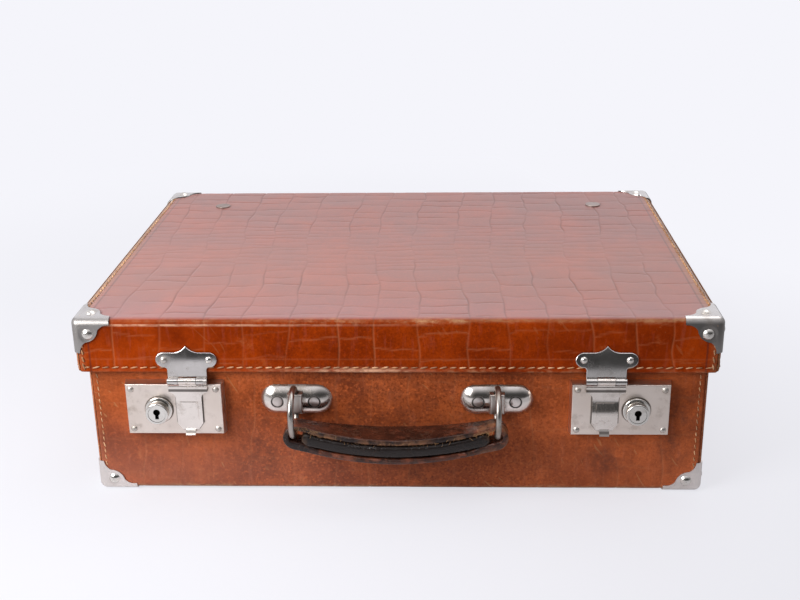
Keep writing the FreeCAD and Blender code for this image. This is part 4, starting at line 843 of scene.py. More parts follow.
# %% Base wrap
BASE_SEAM_INSET = 5.2 * MM
HINGE_LOW, HINGE_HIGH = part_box("left_hinge_leaf")
HINGE_MIDDLE = abs(HINGE_LOW.x + HINGE_HIGH.x) / 2.0
HINGE_HALF = (HINGE_HIGH.x - HINGE_LOW.x) / 2.0
HINGE_RECESS = 0.62 * MM
RECESS_FADE = 4.0 * MM
# Each stain has its x, its height and its size.
STAINS = (
    (-0.083, 0.027, 0.012), (-0.088, 0.048, 0.008), (0.02, 0.016, 0.015),
    (0.128, 0.022, 0.010), (0.172, 0.055, 0.013), (0.168, 0.030, 0.010))
# Height and size of the painted shade round the handle.
HANDLE_SHADE_LEVEL = 60.0 * MM
HANDLE_SHADE_SIZE = 26.0 * MM
# Reach of the pale lower left of the base: some real paling, and painted sheen and light from the left.
BLOOM_AND_SHEEN_LEVEL = 60.0 * MM
BLOOM_AND_SHEEN_RUN = 45.0 * MM
BLOOM_AND_SHEEN_RIGHT = 60.0 * MM
BLOOM_AND_SHEEN_SPREAD = 200.0 * MM


def base_extra(x, points, height, masks):
    """Side seam channels and hinge beds; on the front a worn foot, a pale tint with painted sheen at the
    lower left, dark stains, and painted shade under the lid and round the handle.
    """
    place_x, place_y, place_z = np.moveaxis(points, -1, 0)
    seam_gap = base_form["half_x"] - np.abs(x) - BASE_SEAM_INSET
    height = height - CHANNEL_DEPTH * groove(seam_gap, THREAD_CHANNEL)
    beside = share_of(HINGE_HALF + 4.6 * MM - np.abs(np.abs(x) - HINGE_MIDDLE), RECESS_FADE)
    above = share_of(place_z - HINGE_LOW.z + 5.0 * MM, RECESS_FADE)
    bed = beside * above * (place_y > base_form["half_y"] - EDGE_ROUND)
    height = np.where(bed > 0.0, np.minimum(height * (1.0 - bed), 0.0) - HINGE_RECESS * bed, height)
    front = place_y < -base_form["half_y"] + EDGE_ROUND
    from_rim = place_z - base_form["rim"]
    foot = groove(from_rim + base_form["height"] - 1.5 * MM, 0.7 * MM) * front
    masks["raw"] = np.maximum(0.15 * masks["raw"], 0.55 * foot)
    # Painted sheen and light from the left, with some real paling: the lower left of the base is tinted pale.
    low = share_of(BLOOM_AND_SHEEN_LEVEL - place_z, BLOOM_AND_SHEEN_RUN)
    bloom_and_sheen = 0.14 + 0.26 * share_of(BLOOM_AND_SHEEN_RIGHT - x, BLOOM_AND_SHEEN_SPREAD)
    masks["faded"] = np.maximum(masks["faded"], low * bloom_and_sheen * front)
    # Painted shade: darker round the handle and in a band just under the lid; the listed stains are real.
    from_handle_shade = np.hypot(place_x / 2.5, place_z - HANDLE_SHADE_LEVEL)
    marks = [0.30 * groove(from_handle_shade, HANDLE_SHADE_SIZE), 0.45 * groove(from_rim + 8.0 * MM, 3.0 * MM)]
    for stain_x, stain_z, size in STAINS:
        marks.append(0.75 * groove(np.hypot(place_x - stain_x, place_z - stain_z), size))
    masks["stain"] = np.max(marks, axis=0) * front
    return height


BASE_STEPS = [0.7 * MM, 0.85 * MM, 0.7 * MM, 1.9 * MM, 0.8 * MM, 0.95 * MM, 0.8 * MM]
base_knots = wrap_frame(base_form)
base_stamp = stamp_hide(
    23, across=(-base_form["seam"], base_form["seam"]), along=(0.0, base_knots[-1]), pitch=24.8 * MM,
    cross_pitch=21.0 * MM)
base_wrap = wrap_piece(
    "base_hide_wrap", base_form, base_stamp, base_hide, "base", BASE_STEPS, relief=0.16 * MM,
    extra=base_extra)

# %% [markdown]
# ## Side panels
# A side panel is a flat hide whose front, rear and closed edges bend round to meet the wrap. The bend ends
# where the panel meets the wrap's edge, 60 degrees round. At its corners the square of the unrolled hide
# is drawn in to a quarter disc, so that no point of the panel leaves the rounded box.

# %% Form of a panel
TUCK_RISE = 3.4 * MM
NO_GAP = 1e-9


def panel_place(form, side, a, b, height):
    """Points of a panel at unrolled places a along Y and b up from the rim, pushed out by height."""
    depth = form["half_y"] - EDGE_ROUND
    top = form["height"] - EDGE_ROUND
    core_y = np.clip(a, -depth, depth)
    core_z = np.clip(b, RIM_ROUND, top)
    over_y = np.abs(a) - np.abs(core_y)
    over_z = np.maximum(b - top, 0.0)
    over = np.maximum(over_y, over_z)
    safe = np.maximum(over, NO_GAP)
    eighth = math.pi / 4.0
    turn = np.where(over_y >= over_z, over_z / safe * eighth, math.pi / 2.0 - over_y / safe * eighth)
    tilt = over / EDGE_ROUND
    reach = EDGE_ROUND + height
    px = form["half_x"] - EDGE_ROUND + np.cos(tilt) * reach
    py = core_y + np.sin(tilt) * np.cos(turn) * np.sign(a) * reach
    pz = core_z + np.sin(tilt) * np.sin(turn) * reach
    tuck = form["tuck"] * np.clip(1.0 - b / TUCK_RISE, 0.0, 1.0) ** 2
    px = form["seam"] + (px - form["seam"]) * (1.0 - tuck)
    roll = math.pi * share_of(RIM_ROUND - b, LIP)
    lip = np.clip((px - form["seam"]) / 2.0, 0.0, RIM_ROUND)
    px = px - lip * (1.0 - np.cos(roll))
    pz = pz - lip * np.sin(roll)
    return np.stack([side * px, py, form["rim"] + form["up"] * pz], axis=-1)


print("the lid's panels are tucked in below", TUCK_RISE / MM, "mm")

# %% Panels
BEND_END = math.radians(60.0)
BEND_REACH = BEND_END * EDGE_ROUND
BEND_STEP = 0.6 * MM
PANEL_CHANNEL_DEPTH = 0.22 * MM


def panel_piece(name, form, side, hide, material, body, step, relief, seam_inset, hem):
    """One side panel with its stamped relief, closed by a flat back."""
    depth = form["half_y"] - EDGE_ROUND
    top = form["height"] - EDGE_ROUND
    steps = [BEND_STEP, step, BEND_STEP]
    along = runs(np.array([-depth - BEND_REACH, -depth, depth, depth + BEND_REACH]), steps)
    up = runs(np.array([RIM_ROUND - LIP, RIM_ROUND, top, top + BEND_REACH]), steps)
    a = np.repeat(along[None, :], len(up), axis=0)
    b = np.repeat(up[:, None], len(along), axis=1)
    crease, crown = stamp(hide, a, up)
    edge_gap = np.minimum(depth + BEND_REACH - np.abs(a), top + BEND_REACH - b)
    inside = share_of(np.minimum(edge_gap - 1.0 * MM, b - 2.0 * MM), 2.0 * MM)
    crease = crease * inside
    height = -relief * (crease + CROWN_SHARE * (1.0 - crown) * inside)
    height = height * share_of(edge_gap, 2.0 * MM)
    channel = groove(edge_gap - (seam_inset - GAUGE + BEND_REACH * 0.35), THREAD_CHANNEL)
    if hem:
        channel = np.maximum(channel, groove(b - HEM_RISE, THREAD_CHANNEL))
    height = height - PANEL_CHANNEL_DEPTH * channel
    masks = {label: 0.0 * a for label in MASKS}
    masks["crease"] = crease
    masks["rub"] = np.maximum(groove(edge_gap - 2.5 * MM, 2.2 * MM), groove(b - 0.5 * MM, 2.0 * MM))
    bare = np.maximum(groove(edge_gap, 1.3 * MM), 0.8 * groove(b + LIP, 1.6 * MM))
    masks["raw"] = bare * (1.0 if hem else 0.2)
    back = (side * form["seam"], 0.0, form["rim"] + form["up"] * form["height"] / 2.0)
    points = np.concatenate([panel_place(form, side, a, b, height).reshape(-1, 3), [back]])
    faces = grid_faces(*a.shape)
    index = np.arange(a.size).reshape(a.shape)
    loop = [*index[0, :-1], *index[:-1, -1], *index[-1, :0:-1], *index[:0:-1, 0]]
    for here, following in zip(loop, loop[1:] + loop[:1]):
        faces.append([int(here), int(following), a.size])
    masks = {label: np.append(values.ravel(), 0.0) for label, values in masks.items()}
    piece = make_piece(name, points, faces, material, body, masks)
    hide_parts(name.replace("_hide", "_leather"))
    return piece


lid_reach = lid_form["half_y"] + GAUGE
base_reach = base_form["half_y"] + GAUGE
for side, side_name in ((-1, "left"), (1, "right")):
    side_stamp = stamp_hide(
        31 + side, across=(-lid_reach, lid_reach), along=(-2.0 * MM, 40.0 * MM), pitch=23.0 * MM,
        cross_pitch=19.0 * MM)
    panel = panel_piece(
        f"lid_hide_{side_name}", lid_form, side, side_stamp, lid_hide, "lid", step=0.72 * MM,
        relief=0.30 * MM, seam_inset=LID_SEAM_INSET, hem=True)
    side_stamp = stamp_hide(
        41 + side, across=(-base_reach, base_reach), along=(-2.0 * MM, 95.0 * MM), pitch=24.0 * MM,
        cross_pitch=20.0 * MM)
    panel = panel_piece(
        f"base_hide_{side_name}", base_form, side, side_stamp, base_hide, "base", step=0.85 * MM,
        relief=0.16 * MM, seam_inset=BASE_SEAM_INSET, hem=False)

# %% [markdown]
# ## Stitches
# Waxed linen thread runs along the lid's hem and down every corner seam. A stitch is one short grain of
# thread that dips into its channel at both ends, laid with a slight slant. Hundreds of equal stitches along
# a path are work for Geometry Nodes: the path is cut at the stitch pitch, a grain is set on every point,
# turned along the path and away from the hide, and at the end all grains become one plain mesh.

# %% Thread finish
THREAD_TAN = (0.50, 0.23, 0.095)
THREAD_PALE = (0.88, 0.54, 0.30)
THREAD_SOIL = (0.20, 0.075, 0.03)

thread, tree, shader, place = finish_start("linen_thread")
colour = tint(tree, clouds(tree, place, 240.0, 3.0, 0.55, 0.35, 0.68), THREAD_TAN, THREAD_PALE)
soiled = clouds(tree, place, 34.0, 3.0, 0.55, 0.44, 0.62, 0.72)
feed(tree, shader, {"Base Color": tint(tree, soiled, colour, THREAD_SOIL), "Roughness": 0.62})
strands = {"Vector": place, "Scale": 520.0, "Distortion": 1.5}
twist = put(tree, "ShaderNodeTexWave", strands, bands_direction="DIAGONAL")
raise_surface(tree, shader, twist.outputs["Fac"], 0.00015, 0.6)
print("thread finish:", thread.name)

# %% Geometry tree helpers
def node_tree(name, inputs):
    """A geometry node tree with a path in, a mesh out and named sizes."""
    tree = bpy.data.node_groups.new(name, "GeometryNodeTree")
    tree.interface.new_socket("Path", in_out="INPUT", socket_type="NodeSocketGeometry")
    for label, (kind, default) in inputs.items():
        socket = tree.interface.new_socket(label, in_out="INPUT", socket_type=f"NodeSocket{kind}")
        if default is not None:
            socket.default_value = default
    tree.interface.new_socket("Mesh", in_out="OUTPUT", socket_type="NodeSocketGeometry")
    return tree, put(tree, "NodeGroupInput").outputs, put(tree, "NodeGroupOutput")


def chance(tree, given, low, high):
    """A random number for every point, from the seed that the tree is given."""
    inputs = {2: low, 3: high, "Seed": given["Seed"]}
    return put(tree, "FunctionNodeRandomValue", inputs, data_type="FLOAT").outputs[1]


def outward_of(tree):
    return put(tree, "GeometryNodeInputNamedAttribute", {"Name": "outward"}, data_type="FLOAT_VECTOR")


def turn_by(tree, rotation, angles):
    """A rotation turned by angles about its own axes."""
    turn = put(tree, "FunctionNodeEulerToRotation", {0: angles})
    inputs = {"Rotation": rotation, "Rotate By": turn}
    return put(tree, "FunctionNodeRotateRotation", inputs, rotation_space="LOCAL")


def sow(tree, given, points, item, rotation, smallest, largest):
    """Real copies of an item on all points, turned and varied in size."""
    scale = chance(tree, given, smallest, largest)
    sown = put(tree, "GeometryNodeInstanceOnPoints", {
        "Points": points, "Instance": item, "Rotation": rotation, "Scale": scale})
    return put(tree, "GeometryNodeRealizeInstances", {"Geometry": sown})


def hand_out(tree, given, result, geometry):
    """Give the finish to a geometry and hand it out."""
    dressed = put(tree, "GeometryNodeSetMaterial", {"Geometry": geometry, "Material": given["Finish"]})
    feed(tree, result, {"Mesh": dressed})


print("geometry tree helpers ready")

# %% Stitch tree
sewing, given, result = node_tree("sewn_seam", {
    "Pitch": ("Float", 6.3 * MM), "Thread": ("Float", 0.9 * MM), "Length": ("Float", 4.6 * MM),
    "Slant": ("Float", 0.17), "Seed": ("Int", 5), "Finish": ("Material", None)})
line = put(sewing, "GeometryNodeMeshToCurve", {"Mesh": given["Path"]})
cut = put(sewing, "GeometryNodeResampleCurve", {"Curve": line, "Length": given["Pitch"]}, mode="LENGTH")
ball = put(sewing, "GeometryNodeMeshUVSphere", {"Segments": 8, "Rings": 6, "Radius": 0.5})
size = put(sewing, "ShaderNodeCombineXYZ", {"X": given["Length"], "Y": given["Thread"], "Z": given["Thread"]})
stitch = put(sewing, "GeometryNodeTransform", {"Geometry": ball, "Scale": size})
tangent = put(sewing, "GeometryNodeInputTangent")
along = put(sewing, "FunctionNodeAlignRotationToVector", {"Vector": tangent}, axis="X")
aligned = {"Rotation": along, "Vector": outward_of(sewing)}
stand = put(sewing, "FunctionNodeAlignRotationToVector", aligned, axis="Z", pivot_axis="X")
slant = plus(sewing, given["Slant"], chance(sewing, given, -0.09, 0.09))
turned = turn_by(sewing, stand, put(sewing, "ShaderNodeCombineXYZ", {"Z": slant}))
stitches = sow(sewing, given, cut, stitch, turned, 0.86, 1.06)
hand_out(sewing, given, result, put(sewing, "GeometryNodeSetShadeSmooth", {0: stitches}))
print("stitch tree has", len(sewing.nodes), "nodes")

# %% Path helpers
def path_object(name, lines):
    """Open lines of points with an outward direction at each point, as a mesh of edges."""
    points = []
    ways = []
    outs = []
    for spots, directions in lines:
        first = len(points)
        points.extend(spots)
        outs.extend(directions)
        ways.extend((first + i, first + i + 1) for i in range(len(spots) - 1))
    mesh = bpy.data.meshes.new(name)
    mesh.from_pydata(np.asarray(points).tolist(), ways, [])
    attribute = mesh.attributes.new("outward", "FLOAT_VECTOR", "POINT")
    attribute.data.foreach_set("vector", np.asarray(outs, dtype=np.float32).ravel())
    item = bpy.data.objects.new(name, mesh)
    scene.collection.objects.link(item)
    return item


def grow_mesh(name, path_item, tree, sizes, body):
    """Run a node tree on a path, keep the result as a plain mesh and let it ride on a body."""
    modifier = path_item.modifiers.new("tree", "NODES")
    modifier.node_group = tree
    for item in tree.interface.items_tree:
        if item.item_type == "SOCKET" and item.name in sizes:
            modifier[item.identifier] = sizes[item.name]
    ready = path_item.evaluated_get(bpy.context.evaluated_depsgraph_get())
    mesh = bpy.data.meshes.new_from_object(ready)
    path_item.modifiers.remove(modifier)
    bpy.data.objects.remove(path_item)
    mesh.name = name
    piece = bpy.data.objects.new(name, mesh)
    scene.collection.objects.link(piece)
    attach(piece, body)
    print(name, len(mesh.polygons), "faces")
    return piece


print("path helpers ready")

# %% Seams
SINK = 0.02 * MM
SEAM_STEP = 2.0 * MM
LIP_GAP = 3.0 * MM


def seam_line(spots, raised):
    """Points of a seam, and at each the direction towards its raised copy."""
    outs = raised - spots
    return spots, outs / np.linalg.norm(outs, axis=1)[:, None]


def wrap_seam(form, x):
    """Line on a wrap at one x, from one rim to the other."""
    knots = wrap_frame(form)
    s = np.arange(knots[1] + LIP_GAP, knots[-2] - LIP_GAP, 1.0 * MM)
    across = np.full((len(s), 1), x)
    spots, raised = (wrap_place(form, across, s, lift + 0.0 * across)[:, 0] for lift in (-SINK, 1.0))
    return seam_line(spots, raised)


def panel_seam(form, side, reach, rise):
    """Level line on a side panel, rise above its rim."""
    a = np.arange(-reach, reach, SEAM_STEP)[None, :]
    b = np.full_like(a, rise)
    spots, raised = (panel_place(form, side, a, b, lift + 0.0 * a)[0] for lift in (-SINK, 1.0))
    return seam_line(spots, raised)


def rim_seam(form, y_sign, rise, reach):
    """Level line on the front or the rear of a wrap, rise above its rim."""
    x = np.arange(-reach, reach, SEAM_STEP)
    y = np.full_like(x, y_sign * (form["half_y"] - SINK))
    z = np.full_like(x, form["rim"] + form["up"] * rise)
    return np.stack([x, y, z], axis=1), np.repeat([[0.0, y_sign, 0.0]], len(x), axis=0)


def sew(name, lines, body, pitch, gauge, length, slant, seed):
    """Stitches along lines, as one mesh."""
    sizes = {
        "Pitch": pitch, "Thread": gauge, "Length": length, "Slant": slant, "Seed": seed, "Finish": thread}
    return grow_mesh(name, path_object(f"{name}_path", lines), sewing, sizes, body)


lid_x = lid_form["half_x"] - LID_SEAM_INSET
base_x = base_form["half_x"] - BASE_SEAM_INSET
hem_lines = [rim_seam(lid_form, y_sign, HEM_RISE, lid_x - 1.5 * MM) for y_sign in (-1, 1)]
hem_lines += [panel_seam(lid_form, side, lid_form["half_y"] - 5.0 * MM, HEM_RISE) for side in (-1, 1)]
edge_lines = [wrap_seam(lid_form, side * lid_x) for side in (-1, 1)]
base_lines = [wrap_seam(base_form, side * base_x) for side in (-1, 1)]
lid_stitches = sew(
    "lid_stitches", hem_lines, "lid", pitch=5.7 * MM, gauge=0.95 * MM, length=4.8 * MM, slant=0.15, seed=5)
edge_stitches = sew(
    "lid_edge_stitches", edge_lines, "lid", pitch=4.6 * MM, gauge=1.25 * MM, length=4.3 * MM, slant=0.25,
    seed=7)
base_stitches = sew(
    "base_stitches", base_lines, "base", pitch=4.2 * MM, gauge=0.75 * MM, length=3.5 * MM, slant=0.2, seed=9)

# %% [markdown]
# ## The handle
# The grip is a loop of thick strap leather round a dark filler, sewn together long ago and now cracked. The
# strap is swept along the loop with a rounded section. Its faces are brown, its upper cut edges are dyed
# nearly black and glossy from many hands, the lower edges and the right loop have worn back to brown, and
# the upper front edge has torn open and shows tan fibre. Its inner face is painted nearly black, as shade
# inside the loop and its eyes. The filler is a padded form with a full front face.

# %% Grip sizes
STRAP_LOW, STRAP_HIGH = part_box("handle_strap")
FILLER_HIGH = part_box("handle_filler")[1]
STRAP_GAUGE = 3.6 * MM
EYE_GAUGE = 3.0 * MM
EYE_START = 54.0 * MM
SWELL_START = 45.0 * MM
GRIP_END = 8.0 * MM
END_HALF_WIDTH = 7.0 * MM
TAPER_HALF = 52.0 * MM
grip_y = (STRAP_LOW.y + STRAP_HIGH.y) / 2.0
grip_end_x = STRAP_HIGH.x - GRIP_END
grip_end_z = STRAP_HIGH.z - GRIP_END
grip_sag = (STRAP_HIGH.z - STRAP_LOW.z) - 2.0 * GRIP_END
grip_arc = (grip_end_x ** 2 + grip_sag ** 2) / (2.0 * grip_sag)
half_width_middle = (STRAP_HIGH.y - STRAP_LOW.y) / 2.0


def grip_middle(x):
    """Height of the grip's middle line; it sags between its ends."""
    return grip_end_z + grip_arc - grip_sag - np.sqrt(grip_arc ** 2 - np.minimum(np.abs(x), grip_end_x) ** 2)


def strap_thickness(x):
    """The strap is thicker where it was sewn double, and thinner round the eyes for the rings."""
    return EYE_GAUGE + (STRAP_GAUGE - EYE_GAUGE) * share_of(EYE_START - np.abs(x), 6.0 * MM)


def loop_swell(x, ox, oz):
    """Extra thickness of the loops outside and below the rings, where the strap was folded double."""
    end = share_of(np.abs(x) - SWELL_START, 12.0 * MM)
    return end ** 2 * (3.0 - 2.0 * end) * (2.3 * MM * max(0.0, -oz) ** 1.5 + 0.7 * MM * abs(ox))


def grip_half_width(x):
    """Half width of the grip, full in the middle and narrow at its ends."""
    x = np.clip(x, -TAPER_HALF, TAPER_HALF)
    bulge = half_width_middle - END_HALF_WIDTH
    return END_HALF_WIDTH + bulge * np.clip(1.0 - (x / TAPER_HALF) ** 2, 0.0, 1.0)


print("grip sags", round(grip_sag / MM, 2), "mm between ends at", round(grip_end_x / MM, 2), "mm")

# %% Grip finishes
CRACK_BROWN = (0.11, 0.055, 0.032)
HANDLED_BROWN = (0.20, 0.085, 0.04)


def grip_leather(name, face, dark, torn, gloss, crack_share, patch_share):
    """Strap leather: brown faces, dark where its mask of dyed edges and painted shade is 1, torn fibre where
    rub is 1.
    """
    material, tree, shader, place = finish_start(name)
    hide = use_group(tree, grain, place, Pores=1700.0)
    marks = use_group(tree, handling, place, Size=130.0, Spread=0.52)
    dye_and_shade = mesh_mask(tree, "dye_and_shade")
    clear_of_dye_and_shade = minus(tree, 1.0, dye_and_shade)
    cells = put(tree, "ShaderNodeTexVoronoi", {"Vector": place, "Scale": 330.0}, feature="DISTANCE_TO_EDGE")
    crack = ramp(tree, cells.outputs[0], 0.02, 0.07, 1.0, 0.0)
    crack = times(tree, crack, clouds(tree, place, 70.0, 4.0, 0.55, 0.50, 0.66), crack_share)
    patch = clouds(tree, place, 190.0, 5.0, 0.7, 0.46, 0.64, stretch=(0.6, 1.0, 1.0))
    tear = times(tree, mesh_mask(tree, "rub"), clouds(tree, place, 160.0, 6.0, 0.75, 0.36, 0.60))
    colour = paint(
        tree, tint(tree, hide["Tone"], face, shaded(face, 0.5)),
        (clouds(tree, place, 60.0, 5.0, 0.65, 0.42, 0.60, 0.85), dark),
        (dye_and_shade, dark),
        (times(tree, patch, clear_of_dye_and_shade, patch_share), shaded(face, 1.5)),
        (crack, CRACK_BROWN),
        (times(tree, marks["Rubs"], clear_of_dye_and_shade, 0.5), HANDLED_BROWN),
        (tear, torn))
    feed(tree, shader, {
        "Base Color": colour,
        "Roughness": plus(tree, gloss, times(tree, most(tree, tear, marks["Rubs"]), 0.35)),
        "IOR": 1.45,
        "Specular IOR Level": 0.32,
        "Coat Weight": 0.10,
        "Coat Roughness": 0.2,
    })
    wrinkle = speckle(tree, place, 320.0, 4.0, 0.6, (0.5, 1.0, 1.0))
    height = minus(tree, hide["Height"], times(tree, crack, 1.2))
    raise_surface(tree, shader, plus(tree, height, times(tree, wrinkle, 1.6)), 0.00030, 0.9)
    return material


strap_finish = grip_leather(
    "strap_leather", face=(0.150, 0.043, 0.022), dark=(0.014, 0.007, 0.006), torn=(0.40, 0.17, 0.075),
    gloss=0.22, crack_share=0.40, patch_share=0.80)
filler_finish = grip_leather(
    "filler_leather", face=(0.024, 0.014, 0.012), dark=(0.011, 0.007, 0.006), torn=(0.34, 0.17, 0.08),
    gloss=0.17, crack_share=0.10, patch_share=0.25)
fray_finish, tree, shader, place = finish_start("torn_fibre")
fray_tone = tint(tree, speckle(tree, place, 300.0), (0.20, 0.085, 0.03), (0.62, 0.36, 0.16))
feed(tree, shader, {"Base Color": fray_tone, "Roughness": 0.8})
print("grip finishes:", strap_finish.name, filler_finish.name, fray_finish.name)

# %% Line and section of the strap
def long_side(x, up):
    """Outer line over the grip where up is 1, or under it where up is -1."""
    lean = np.arcsin(x / grip_arc)
    ox, oz = -up * np.sin(lean), up * np.cos(lean)
    return x + ox * GRIP_END, grip_middle(x) + oz * GRIP_END, ox, oz


def round_end(bend, side):
    """Outer line round the right end where side is 1, or the left end where side is -1."""
    ox, oz = side * np.cos(bend), np.sin(bend)
    return side * grip_end_x + ox * GRIP_END, grip_end_z + oz * GRIP_END, ox, oz


def strap_line():
    """Closed outer line of the strap as x, z and outward direction, from the left end over the top."""
    top_x = np.linspace(-1.0, 1.0, 110)[:-1] * grip_end_x
    ends = np.radians(np.linspace(90.0, -90.0, 26))[:-1]
    bend = ends + math.asin(grip_end_x / grip_arc) * np.sin(ends)
    sides = (long_side(top_x, 1), round_end(bend, 1), long_side(-top_x, -1), round_end(bend[::-1], -1))
    return [np.concatenate(run) for run in zip(*sides)]


def strap_section():
    """Rounded section of the strap: place and rounding across, place through, and whether it is flat."""
    quarter = [(math.sin(turn), math.cos(turn)) for turn in np.radians(np.linspace(0.0, 90.0, 5))]
    section = []
    for width_sign, through_sign, order in ((1, 1, 1), (-1, 1, -1), (-1, -1, 1), (1, -1, -1)):
        for through, across in quarter[::order]:
            section.append((width_sign, across, through_sign * through, False))
        if order == 1:
            for step in np.linspace(0.85, -0.85, 9):
                section.append((width_sign * step, 0.0, through_sign, True))
    return section


print("the section of the strap has", len(strap_section()), "points")

# %% Strap
STRAP_ROUND = 1.35 * MM
EDGE_SET_BACK = 0.6 * MM
FACE_TURN = 0.25
HANDLED_REACH = 0.047
LOOP_START = 0.046
LOOP_FADE = 0.006
HANDLED_TOP = 0.58
HANDLED_UNDER = 0.12
LEFT_LOOP_DYE = 0.85
RIGHT_LOOP_DYE = 0.25
BARE_EDGE_DYE = 0.12
WORN_CORNER = 0.55
REAR_SHARE = 0.30
# The torn line has a place on the rounding of the edge and a narrowness.
TORN_TOP = (0.80, 3.2)
TORN_UNDER = (0.35, 4.5)
DENT = 0.30 * MM
RAGGED_FRONT = 0.55 * MM
RAGGED_REST = 0.22 * MM


def strap_masks(x, y, oz, across, through, is_flat):
    """Darkness of the dyed edges and of the inner face, which is painted shade, and rub of the torn and worn
    ones at one point of the strap.
    """
    upper = oz > FACE_TURN
    looped = min(1.0, max(0.0, (abs(x) - LOOP_START) / LOOP_FADE))
    handled = HANDLED_TOP * math.exp(-(x / HANDLED_REACH) ** 6) if upper else HANDLED_UNDER
    if looped > 0.0 and not upper:
        handled = LEFT_LOOP_DYE if x < 0.0 else RIGHT_LOOP_DYE
    bare = oz < -FACE_TURN or (looped > 0.0 and x > 0.0)
    cut_edge = max(BARE_EDGE_DYE if bare else 1.0, looped if x < 0.0 else 0.0) * min(1.0, 1.25 * across)
    # Painted shade: the inner face, seen inside the loop and its eyes, is made fully dark.
    dye_and_shade = 1.0 if is_flat and through < 0 else max(cut_edge, handled)
    spot, narrow = TORN_TOP if upper else TORN_UNDER
    torn = 0.0 if is_flat else max(0.0, 1.0 - abs(across - spot) * narrow)
    patchy = min(1.0, max(0.0, 0.75 + 1.6 * noise.noise(Vector((x * 55.0, 7.0, 1.0)))))
    if upper:
        share = 1.0 if through < 0.2 else 0.35
    else:
        share = 0.80 if through > 0 else 0.0
    worn = WORN_CORNER * max(0.0, through) * looped if x > 0.0 else 0.0
    return dye_and_shade, max(torn * patchy * share, worn) * (1.0 if y < 0 else REAR_SHARE)


points = []
masks = []
outline = strap_line()
section = strap_section()
for x, z, ox, oz in zip(*outline):
    width = float(grip_half_width(x)) - EDGE_SET_BACK
    gauge = float(strap_thickness(x) + loop_swell(x, ox, oz))
    for width_share, across, through, is_flat in section:
        y = width_share * (width - STRAP_ROUND) + width_share * across * STRAP_ROUND
        inset = STRAP_ROUND * (1.0 - abs(through))
        depth = -inset if through > 0 else inset - gauge
        fine = noise.noise(Vector((x * 420.0, y * 300.0, z * 420.0)))
        slow = noise.noise(Vector((x * 75.0, y * 90.0 + 3.0, z * 75.0)))
        if through > 0:
            depth -= DENT * (0.5 + 0.5 * slow)
        ragged = RAGGED_FRONT if oz > FACE_TURN and y < 0 else RAGGED_REST
        y -= math.copysign(ragged * (0.5 + 0.5 * fine) * across, y)
        points.append((x + ox * depth, grip_y + y, z + oz * depth))
        masks.append(strap_masks(x, y, oz, across, through, is_flat))
dye_and_shade, rub = zip(*masks)
quads = tube_faces(len(outline[0]), len(section), closed=True)
strap = make_piece("grip_strap", points, quads, strap_finish, "handle", {"dye_and_shade": dye_and_shade, "rub": rub})
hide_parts("handle_strap")

# %% Filler
FILLER_REACH = FILLER_HIGH.x + 2.5 * MM
FILLER_STATIONS = 141
FILLER_RING = 36
FILLER_GAP = 0.05 * MM
FILLER_DENT = 0.5 * MM
END_SHARE = 0.07


def swollen(content, power):
    """A sine or cosine drawn towards its limits, which squares a circle."""
    return math.copysign(abs(content) ** power, content)


points = []
dye_and_shade = []
rub = []
for station in np.linspace(-1.0, 1.0, FILLER_STATIONS):
    x = station * FILLER_REACH
    end = max(0.0, (abs(station) - 1.0 + END_SHARE) / END_SHARE)
    shrink = 1.0 - 0.55 * end ** 2.0
    width = float(grip_half_width(x)) - FILLER_GAP
    half_deep = GRIP_END - float(strap_thickness(x)) - FILLER_GAP
    middle = float(grip_middle(x))
    for turn in np.linspace(0.0, math.tau, FILLER_RING, endpoint=False):
        up = swollen(math.sin(turn), 0.50)
        side = swollen(math.cos(turn), 0.55)
        swell = noise.noise(Vector((x * 60.0, side * 1.7, up * 2.0)))
        y = side * (width - FILLER_DENT * (0.5 - 0.5 * swell)) * (0.80 + 0.20 * shrink)
        points.append((x, grip_y + y, middle + up * half_deep * shrink))
        dye_and_shade.append(abs(side))
        rub.append(0.25 * end)
quads = tube_faces(FILLER_STATIONS, FILLER_RING)
quads.append([*range(FILLER_RING)])
quads.append([*range(len(points) - FILLER_RING, len(points))])
filler = make_piece("grip_filler", points, quads, filler_finish, "handle", {"dye_and_shade": dye_and_shade, "rub": rub})
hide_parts("handle_filler")

# %% [markdown]
# ## Torn fibres
# Where the strap has split, loose fibres stand out along its upper front edge and at both ends. They are
# bent hairs on a path, again by Geometry Nodes: each hair is a thin tube round a short curve, turned and
# scaled at random from a fixed seed.

# %% Fibre tree
fraying, given, result = node_tree("torn_edge", {
    "Count": ("Int", 40), "Hair": ("Float", 0.07 * MM), "Length": ("Float", 3.2 * MM),
    "Seed": ("Int", 3), "Finish": ("Material", None)})
line = put(fraying, "GeometryNodeMeshToCurve", {"Mesh": given["Path"]})
cut = put(fraying, "GeometryNodeResampleCurve", {"Curve": line, "Count": given["Count"]}, mode="COUNT")
bow = put(fraying, "GeometryNodeCurveQuadraticBezier", {
    "Resolution": 5, "Start": (0.0, 0.0, 0.0), "Middle": (0.35, 0.30, 0.12), "End": (1.0, 0.12, 0.3)})
tip = put(fraying, "ShaderNodeCombineXYZ", {axis: given["Length"] for axis in "XYZ"})
hair = put(fraying, "GeometryNodeTransform", {"Geometry": bow, "Scale": tip})
tube = put(fraying, "GeometryNodeCurvePrimitiveCircle", {"Resolution": 4, "Radius": given["Hair"]})
solid = put(fraying, "GeometryNodeCurveToMesh", {"Curve": hair, "Profile Curve": tube, "Fill Caps": True})
stand = put(fraying, "FunctionNodeAlignRotationToVector", {"Vector": outward_of(fraying)}, axis="Z")
spin = put(fraying, "FunctionNodeRandomValue", {
    0: (-0.5, -0.5, -3.1), 1: (0.5, 0.5, 3.1), "Seed": given["Seed"]}, data_type="FLOAT_VECTOR")
